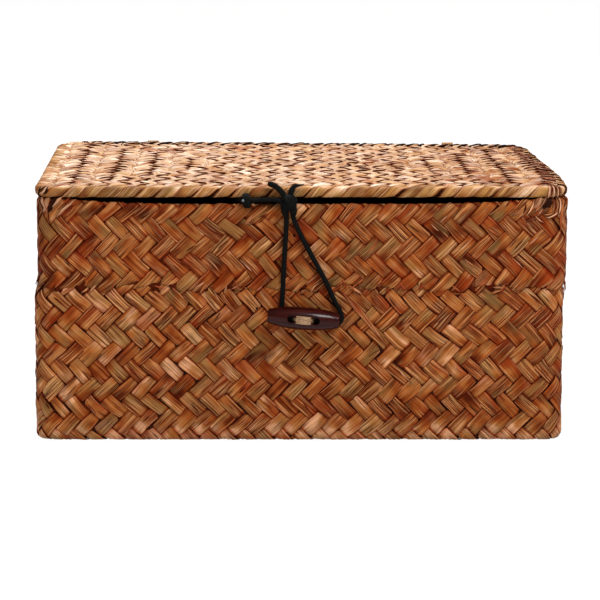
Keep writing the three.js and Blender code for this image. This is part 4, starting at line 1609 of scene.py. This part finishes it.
@dataclass
class Closure:
    """The elastic cord: a hitch and a knot on the lid's front, their lead and tails, and the loop. Its routes
    are rows of place across, distance out from the front, and height."""

    front: float
    cord: float = 1.4
    knot: Point = (-6.2, 4.8, 138.9)
    hitch: Point = (-30.2, 4.8, 140.2)
    hitch_radius: float = 2.95

    def before(self, rows: Point | tuple[Point, ...]) -> Array:
        """Turns rows of place across, distance out from the front and height into points."""
        return np.array(rows) * (1, -1, 1) - (0, self.front, 0)

    def cord_piece(
        self, name: str, route: tuple[Point, ...], count: int, radius: Array | float, body: str, kept: slice
    ) -> None:
        """Makes one stretch of cord along its route.

        Args:
            name: The piece's name, which its node's name follows.
            route: Rows of place across, distance out from the front, and height.
            count: Points along it.
            radius: The cord's radius.
            body: The body that it rides on.
            kept: Leaves out the ends that the knot hides, so that cords of two bodies don't meet in it.
        """
        skin = Skin(slenderness=8)
        path = smooth_route(self.before(route), count)
        add_tube(skin, path[kept], np.broadcast_to(radius, count)[kept], len(name))
        node = "closure_" + name.replace("_cord", "").replace("cord_", "")
        skin.piece(name, ELASTIC, body, "elastic_cord", node)

    def knot_piece(self) -> None:
        """The main knot: a tight egg of cord, turns sunk in its face, and two sleeves round the loop's ends."""
        centre = self.before(self.knot)
        skin = Skin(slenderness=4)
        place = np.linspace(-1, 1, 40)
        egg = points_of(place * 0.3, place * 0.2, 4.7 * place + 0.2)
        add_tube(skin, centre + egg, 4.0 * np.maximum(1 - place**4, 0.001) ** 0.5, 5, 24)
        turn = np.linspace(-0.1, 1.2, 90)
        angle = turn * FULL_TURN
        around = points_of(3.45 * np.cos(angle), -3.0 * np.sin(angle), 1.6 * np.cos(angle + 0.9) + turn - 0.6)
        add_tube(skin, centre + around, self.cord, 1)
        over = points_of(-2.6 * place, -3.3 + 1.6 * place**2, 2.6 * place + 0.4)
        add_tube(skin, centre + over, self.cord * 1.1, 2)
        for number, (x, lean) in enumerate(((-2.45, 0.35), (2.35, 0.3))):
            sleeve = points_of(x + lean * place, place - 0.6, -3.4 - 3.8 * place)
            add_tube(skin, centre + sleeve, 2.15 - 0.75 * ease((place - 0.35) / 0.65), 3 + number, 16)
        skin.piece("knot_turns", ELASTIC, "lid", "elastic_cord", "closure_knot")

    def hitch_piece(self) -> None:
        """The stop hitch: one and three quarter turns round the lead, and the cut end's pale core."""
        centre = self.before(self.hitch)
        turn = np.linspace(0, 1.8, 90)
        angle = turn * FULL_TURN + 0.6
        turns = points_of((turn - 0.9) * 1.4, self.hitch_radius * np.cos(angle), self.hitch_radius * np.sin(angle))
        skin, core = Skin(slenderness=8), Skin()
        add_tube(skin, centre + turns, self.cord, 7)
        stub = np.linspace((0.0, -1.2, 0.3), (-1.7, -3.4, 0.6), 16)
        add_tube(skin, centre + stub, self.cord * 0.95, 8)
        add_tube(core, centre + stub[-3:] - (0.35, 0.35, 0.0), self.cord * 0.6, 9)
        skin.piece("hitch_turns", ELASTIC, "lid", "elastic_cord", "closure_hitch")
        core.piece("hitch_end", RUBBER, "lid", "elastic_cord", "closure_hitch")

    def build(self) -> None:
        """Makes the closure's pieces."""
        self.knot_piece()
        self.hitch_piece()
        share = np.linspace(0, 1, 60)
        tip = self.cord * (1.15 - 0.97 * ease((share - 0.5) / 0.55))
        stump = self.cord * (1.15 - 0.5 * ease((share - 0.9) / 0.1) ** 2)
        self.cord_piece("lead_cord", LEAD_ROUTE, 130, self.cord, "lid", slice(None))
        self.cord_piece("tail_cord_left", LEFT_TAIL_ROUTE, 60, stump, "lid", slice(8, None))
        self.cord_piece("tail_cord_right", RIGHT_TAIL_ROUTE, 60, tip, "lid", slice(8, None))
        self.cord_piece("loop_cord", LOOP_ROUTE, 420, self.cord, "loop", slice(7, -7))


@dataclass
class Toggle:
    """The wooden toggle, its raffia stitch, and the raffia neck that holds it on the wall."""

    centre: Point
    length: float = 41.0
    diameter: float = 13.0
    end_diameter: float = 8.5
    end_round: float = 1.4
    swell_power: float = 2.4
    tilt: float = 4.5
    hole_diameter: float = 4.4
    hole_spacing: float = 13.8
    strands: int = 5
    hole_flare: float = 0.45
    hole_shares: tuple[float, float] = (-0.6, 0.34)
    sharp_angle: float = 38.0
    stitch_reach: float = 4.65
    stitch_back: float = 7.0
    stitch_out: float = 0.55
    stitch_sunk: float = 2.1
    squareness: float = 0.42
    stitch_seed: int = 71
    strand_radius: float = 0.5
    strand_plies: Plies = (2, 0.35, 7.0)
    neck_radius: float = 1.5
    neck_plies: Plies = (3, 0.35, 5.0)
    neck_ends: tuple[float, float] = (102.6, 95.0)
    coil: tuple[float, float, float] = (2.3, 1.15, 2.2)
    coil_plies: Plies = (2, 0.3, 4.0)

    def tilted(self, points: Array) -> Array:
        """Turns points about the toggle's middle by its tilt, right end down, and puts them in place.

        Args:
            points: Points about the middle, with their coordinates last.

        Returns:
            The points in the frame.
        """
        angle = math.radians(self.tilt)
        x = points[..., 0] * math.cos(angle) + points[..., 2] * math.sin(angle)
        z = points[..., 2] * math.cos(angle) - points[..., 0] * math.sin(angle)
        return np.stack([x, points[..., 1], z], -1) + np.array(self.centre)

    def barrel_skin(self) -> Skin:
        """The turned barrel: its radius swells to the middle, and a quarter circle rounds each end.

        Returns:
            The mesh's grid.
        """
        flank = np.linspace(-1, 1, 90)
        half = self.length / 2 - self.end_round
        swell = (self.diameter - self.end_diameter) * (1 - np.abs(flank) ** self.swell_power)
        bend = np.linspace(0, QUARTER_TURN, 8)[1:]
        end_radius = self.end_diameter / 2 - self.end_round * (1 - np.cos(bend))
        end_radius = np.concatenate([end_radius, np.linspace(1, 0.02, 6)[1:] * end_radius[-1]])
        end_x = half + self.end_round * np.sin(bend)
        end_x = np.concatenate([end_x, np.full(5, end_x[-1])])
        x = np.concatenate([-end_x[::-1], flank * half, end_x])[:, None]
        radius = np.concatenate([end_radius[::-1], (self.end_diameter + swell) / 2, end_radius])[:, None]
        angle = np.arange(96) / 96 * FULL_TURN
        skin = Skin()
        points = self.tilted(points_of(x, radius * np.cos(angle), radius * np.sin(angle)))
        skin.add(points, x[:, 0], angle / FULL_TURN, 1.0)
        return skin

    def bore(self, side: int) -> bpy.types.Object:
        """A round tool into the barrel, with a flared mouth, for cutting one hole. The raffia fills its far end,
        so the cut stops short of the back face.

        Args:
            side: -1 for the left hole, 1 for the right.

        Returns:
            The tool.
        """
        depth = np.linspace(*self.hole_shares, 60) * self.diameter
        mouth = ease((np.abs(depth) - self.diameter * 0.4) / (self.diameter * 0.14))
        radius = (self.hole_diameter / 2 + self.hole_flare * mouth)[:, None]
        angle = np.arange(40) / 40 * FULL_TURN
        x = side * self.hole_spacing / 2 + radius * np.cos(angle)
        skin = Skin()
        skin.add(self.tilted(points_of(x, depth[:, None], radius * np.sin(angle))), depth, angle, 1.0)
        return skin.make("bore", DARK_WOOD)

    def barrel(self) -> None:
        """Cuts the two holes and hands the barrel over."""
        piece = self.barrel_skin().make("toggle_barrel", DARK_WOOD)
        tools = [self.bore(side) for side in (-1, 1)]
        for tool in tools:
            cut = piece.modifiers.new("hole", "BOOLEAN")
            cut.operation, cut.solver, cut.object = "DIFFERENCE", "EXACT", tool
        shaped = bpy.data.meshes.new_from_object(piece.evaluated_get(bpy.context.evaluated_depsgraph_get()))
        piece.modifiers.clear()
        piece.data = shaped
        shaped.set_sharp_from_angle(angle=math.radians(self.sharp_angle))
        for tool in tools:
            bpy.data.objects.remove(tool)
        place_piece(piece, "toggle", "dark_wood", "toggle")

    def stitch(self) -> None:
        """Raffia strands through both holes: each runs round a squared ring that is wider at the holes' far
        ends. It leaves the barrel's back only near the middle, where the neck takes it up, so that a cord behind
        the toggle stays clear of it when the toggle turns."""
        rng = np.random.default_rng(self.stitch_seed)
        skin = Skin(slenderness=3)
        turn = np.linspace(0, FULL_TURN, 96, endpoint=False)
        across, deep = (np.sign(wave) * np.abs(wave) ** self.squareness for wave in (np.cos(turn), np.sin(turn)))
        behind = ease(deep / 2 + 0.5)
        for strand in range(self.strands):
            spread = (strand / (self.strands - 1) - 0.5) * 2
            grow = rng.uniform(-0.2, 0.2)
            x = across * (self.stitch_reach + grow + (self.stitch_back - self.stitch_reach) * behind)
            sunk = behind * ease((np.abs(x) - 1.6) / 1.8)
            y = deep * (self.diameter / 2 + self.stitch_out + grow - self.stitch_sunk * sunk)
            z = spread * (1.2 + 0.7 * np.abs(deep) ** 3) + 0.12 * np.sin(turn * 3 + strand * 2)
            path = self.tilted(points_of(x, y, z))
            add_tube(skin, path, self.strand_radius, strand * 3.0, 10, self.strand_plies, closed=True)
        skin.piece("stitch_strands", RAFFIA, "toggle", "raffia", "toggle_stitch")

    def neck(self) -> None:
        """The twisted neck through the wall, with its knot inside."""
        skin = Skin(slenderness=3)
        x, _, z = self.centre
        path = points_of(x, -np.linspace(*self.neck_ends, 40), z)
        add_tube(skin, path, self.neck_radius, 1.0, 14, self.neck_plies)
        reach, radius, turns = self.coil
        turn = np.linspace(0, turns, 90)
        angle = turn * FULL_TURN
        path = points_of(x + reach * np.cos(angle), 0.5 - self.neck_ends[1] + 0.9 * turn, z + reach * np.sin(angle))
        add_tube(skin, path, radius, 2.0, 12, self.coil_plies)
        skin.piece("neck_raffia", RAFFIA, "box", "raffia", "toggle_shank")

    def build(self) -> None:
        """Makes the toggle's pieces."""
        self.barrel()
        self.stitch()
        self.neck()


@dataclass
class Studio:
    """The camera at the photograph's angle, a pale floor and soft light."""

    camera_place: Point = (0.0, -1.852, 0.402)
    look_down: float = 10.34
    lens: float = 187.56
    sensor: float = 36.0
    far: float = 60.0
    floor_half: float = 15.0
    floor_seen: float = 0.88
    floor_glow: float = 1.08
    ambient: float = 0.34
    aim_height: float = 0.07
    key_lamp: tuple[Point, float, float] = ((0.72, -1.22, 1.7), 0.7, 36.0)
    top_lamp: tuple[Point, float, float] = ((-0.25, 0.75, 1.5), 0.8, 26.5)

    def camera(self) -> None:
        """Places the camera."""
        data = bpy.data.cameras.new("camera")
        data.lens, data.sensor_width, data.clip_end = self.lens, self.sensor, self.far
        eye = link_object("camera", data)
        eye.location = self.camera_place
        eye.rotation_euler = (math.radians(90 - self.look_down), 0, 0)
        bpy.context.scene.camera = eye

    def lamp(self, name: str, place: Point, size: float, energy: float) -> None:
        """Adds a square soft lamp that faces the middle of the box.

        Args:
            name: The lamp's name.
            place: Where it hangs, in metres.
            size: Its side, in metres.
            energy: Its power, in watts.
        """
        data = bpy.data.lights.new(name, "AREA")
        data.size, data.energy = size, energy
        lamp = link_object(name, data)
        lamp.location = place
        toward = -lamp.location
        toward.z += self.aim_height
        lamp.rotation_euler = toward.to_track_quat("-Z", "Y").to_euler()

    def floor(self) -> None:
        """Lays a pale floor that the camera sees as nearly white, with the box's soft shadow on it."""
        half = self.floor_half
        mesh = bpy.data.meshes.new("floor")
        mesh.from_pydata([(-half, -half, 0), (half, -half, 0), (half, half, 0), (-half, half, 0)], [], [(0, 1, 2, 3)])
        nodes = Nodes(bpy.data.materials.new("pale_floor"))
        pale = nodes.add("BsdfDiffuse", {}, {"Color": paint("#EFEDEA")})
        glow = nodes.add("Emission", {}, {"Color": paint("#FFFFFF"), "Strength": self.floor_glow})
        seen = nodes.add("LightPath", {}, {}, "Is Camera Ray") + nodes.add("LightPath", {}, {}, "Is Glossy Ray")
        both = nodes.add("MixShader", {}, {0: (seen * self.floor_seen).held(), 1: pale, 2: glow})
        nodes.add("OutputMaterial", {}, {"Surface": both})
        mesh.materials.append(nodes.owner)
        link_object("floor", mesh)

    def world(self) -> None:
        """Fills the scene with plain light, and shows the camera white."""
        nodes = Nodes(bpy.data.worlds.new("studio"))
        level = nodes.add("LightPath", {}, {}, "Is Camera Ray") * (1 - self.ambient) + self.ambient
        white = nodes.add("Background", {}, {"Color": paint("#FFFFFF"), "Strength": level})
        nodes.add("OutputWorld", {}, {"Surface": white})
        bpy.context.scene.world = nodes.owner

    def build(self) -> None:
        """Sets the stage."""
        self.camera()
        self.lamp("key", *self.key_lamp)
        self.lamp("top", *self.top_lamp)
        self.floor()
        self.world()
        bpy.context.scene.view_settings.view_transform = "Standard"


def main() -> None:
    """Builds the studio and every piece."""
    logging.basicConfig(level=logging.INFO, format="%(message)s")
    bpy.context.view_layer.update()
    Studio().build()
    sizes = Sizes.from_frame()
    size = (sizes.half_width, sizes.half_depth)
    outline = Outline(*size, front_radius=13.0, back_radius=22.0)
    stance = Stance(*size, outline.middle_y, sizes.seam, rim=sizes.rim_corner - Stance.front_sag)
    Basket(sizes, outline, stance).build()
    Lid(sizes, outline, LidSet(*size, sizes.lid_bottom, sizes.lid_top)).build()
    HingeTies(axis_y=sizes.half_depth + 0.4, axis_z=sizes.lid_bottom - 0.1).build()
    Closure(sizes.half_depth).build()
    across, out, up = sizes.toggle
    Toggle((across, out - 0.5, up)).build()
    bpy.context.view_layer.update()


if __name__ == "__main__":
    main()
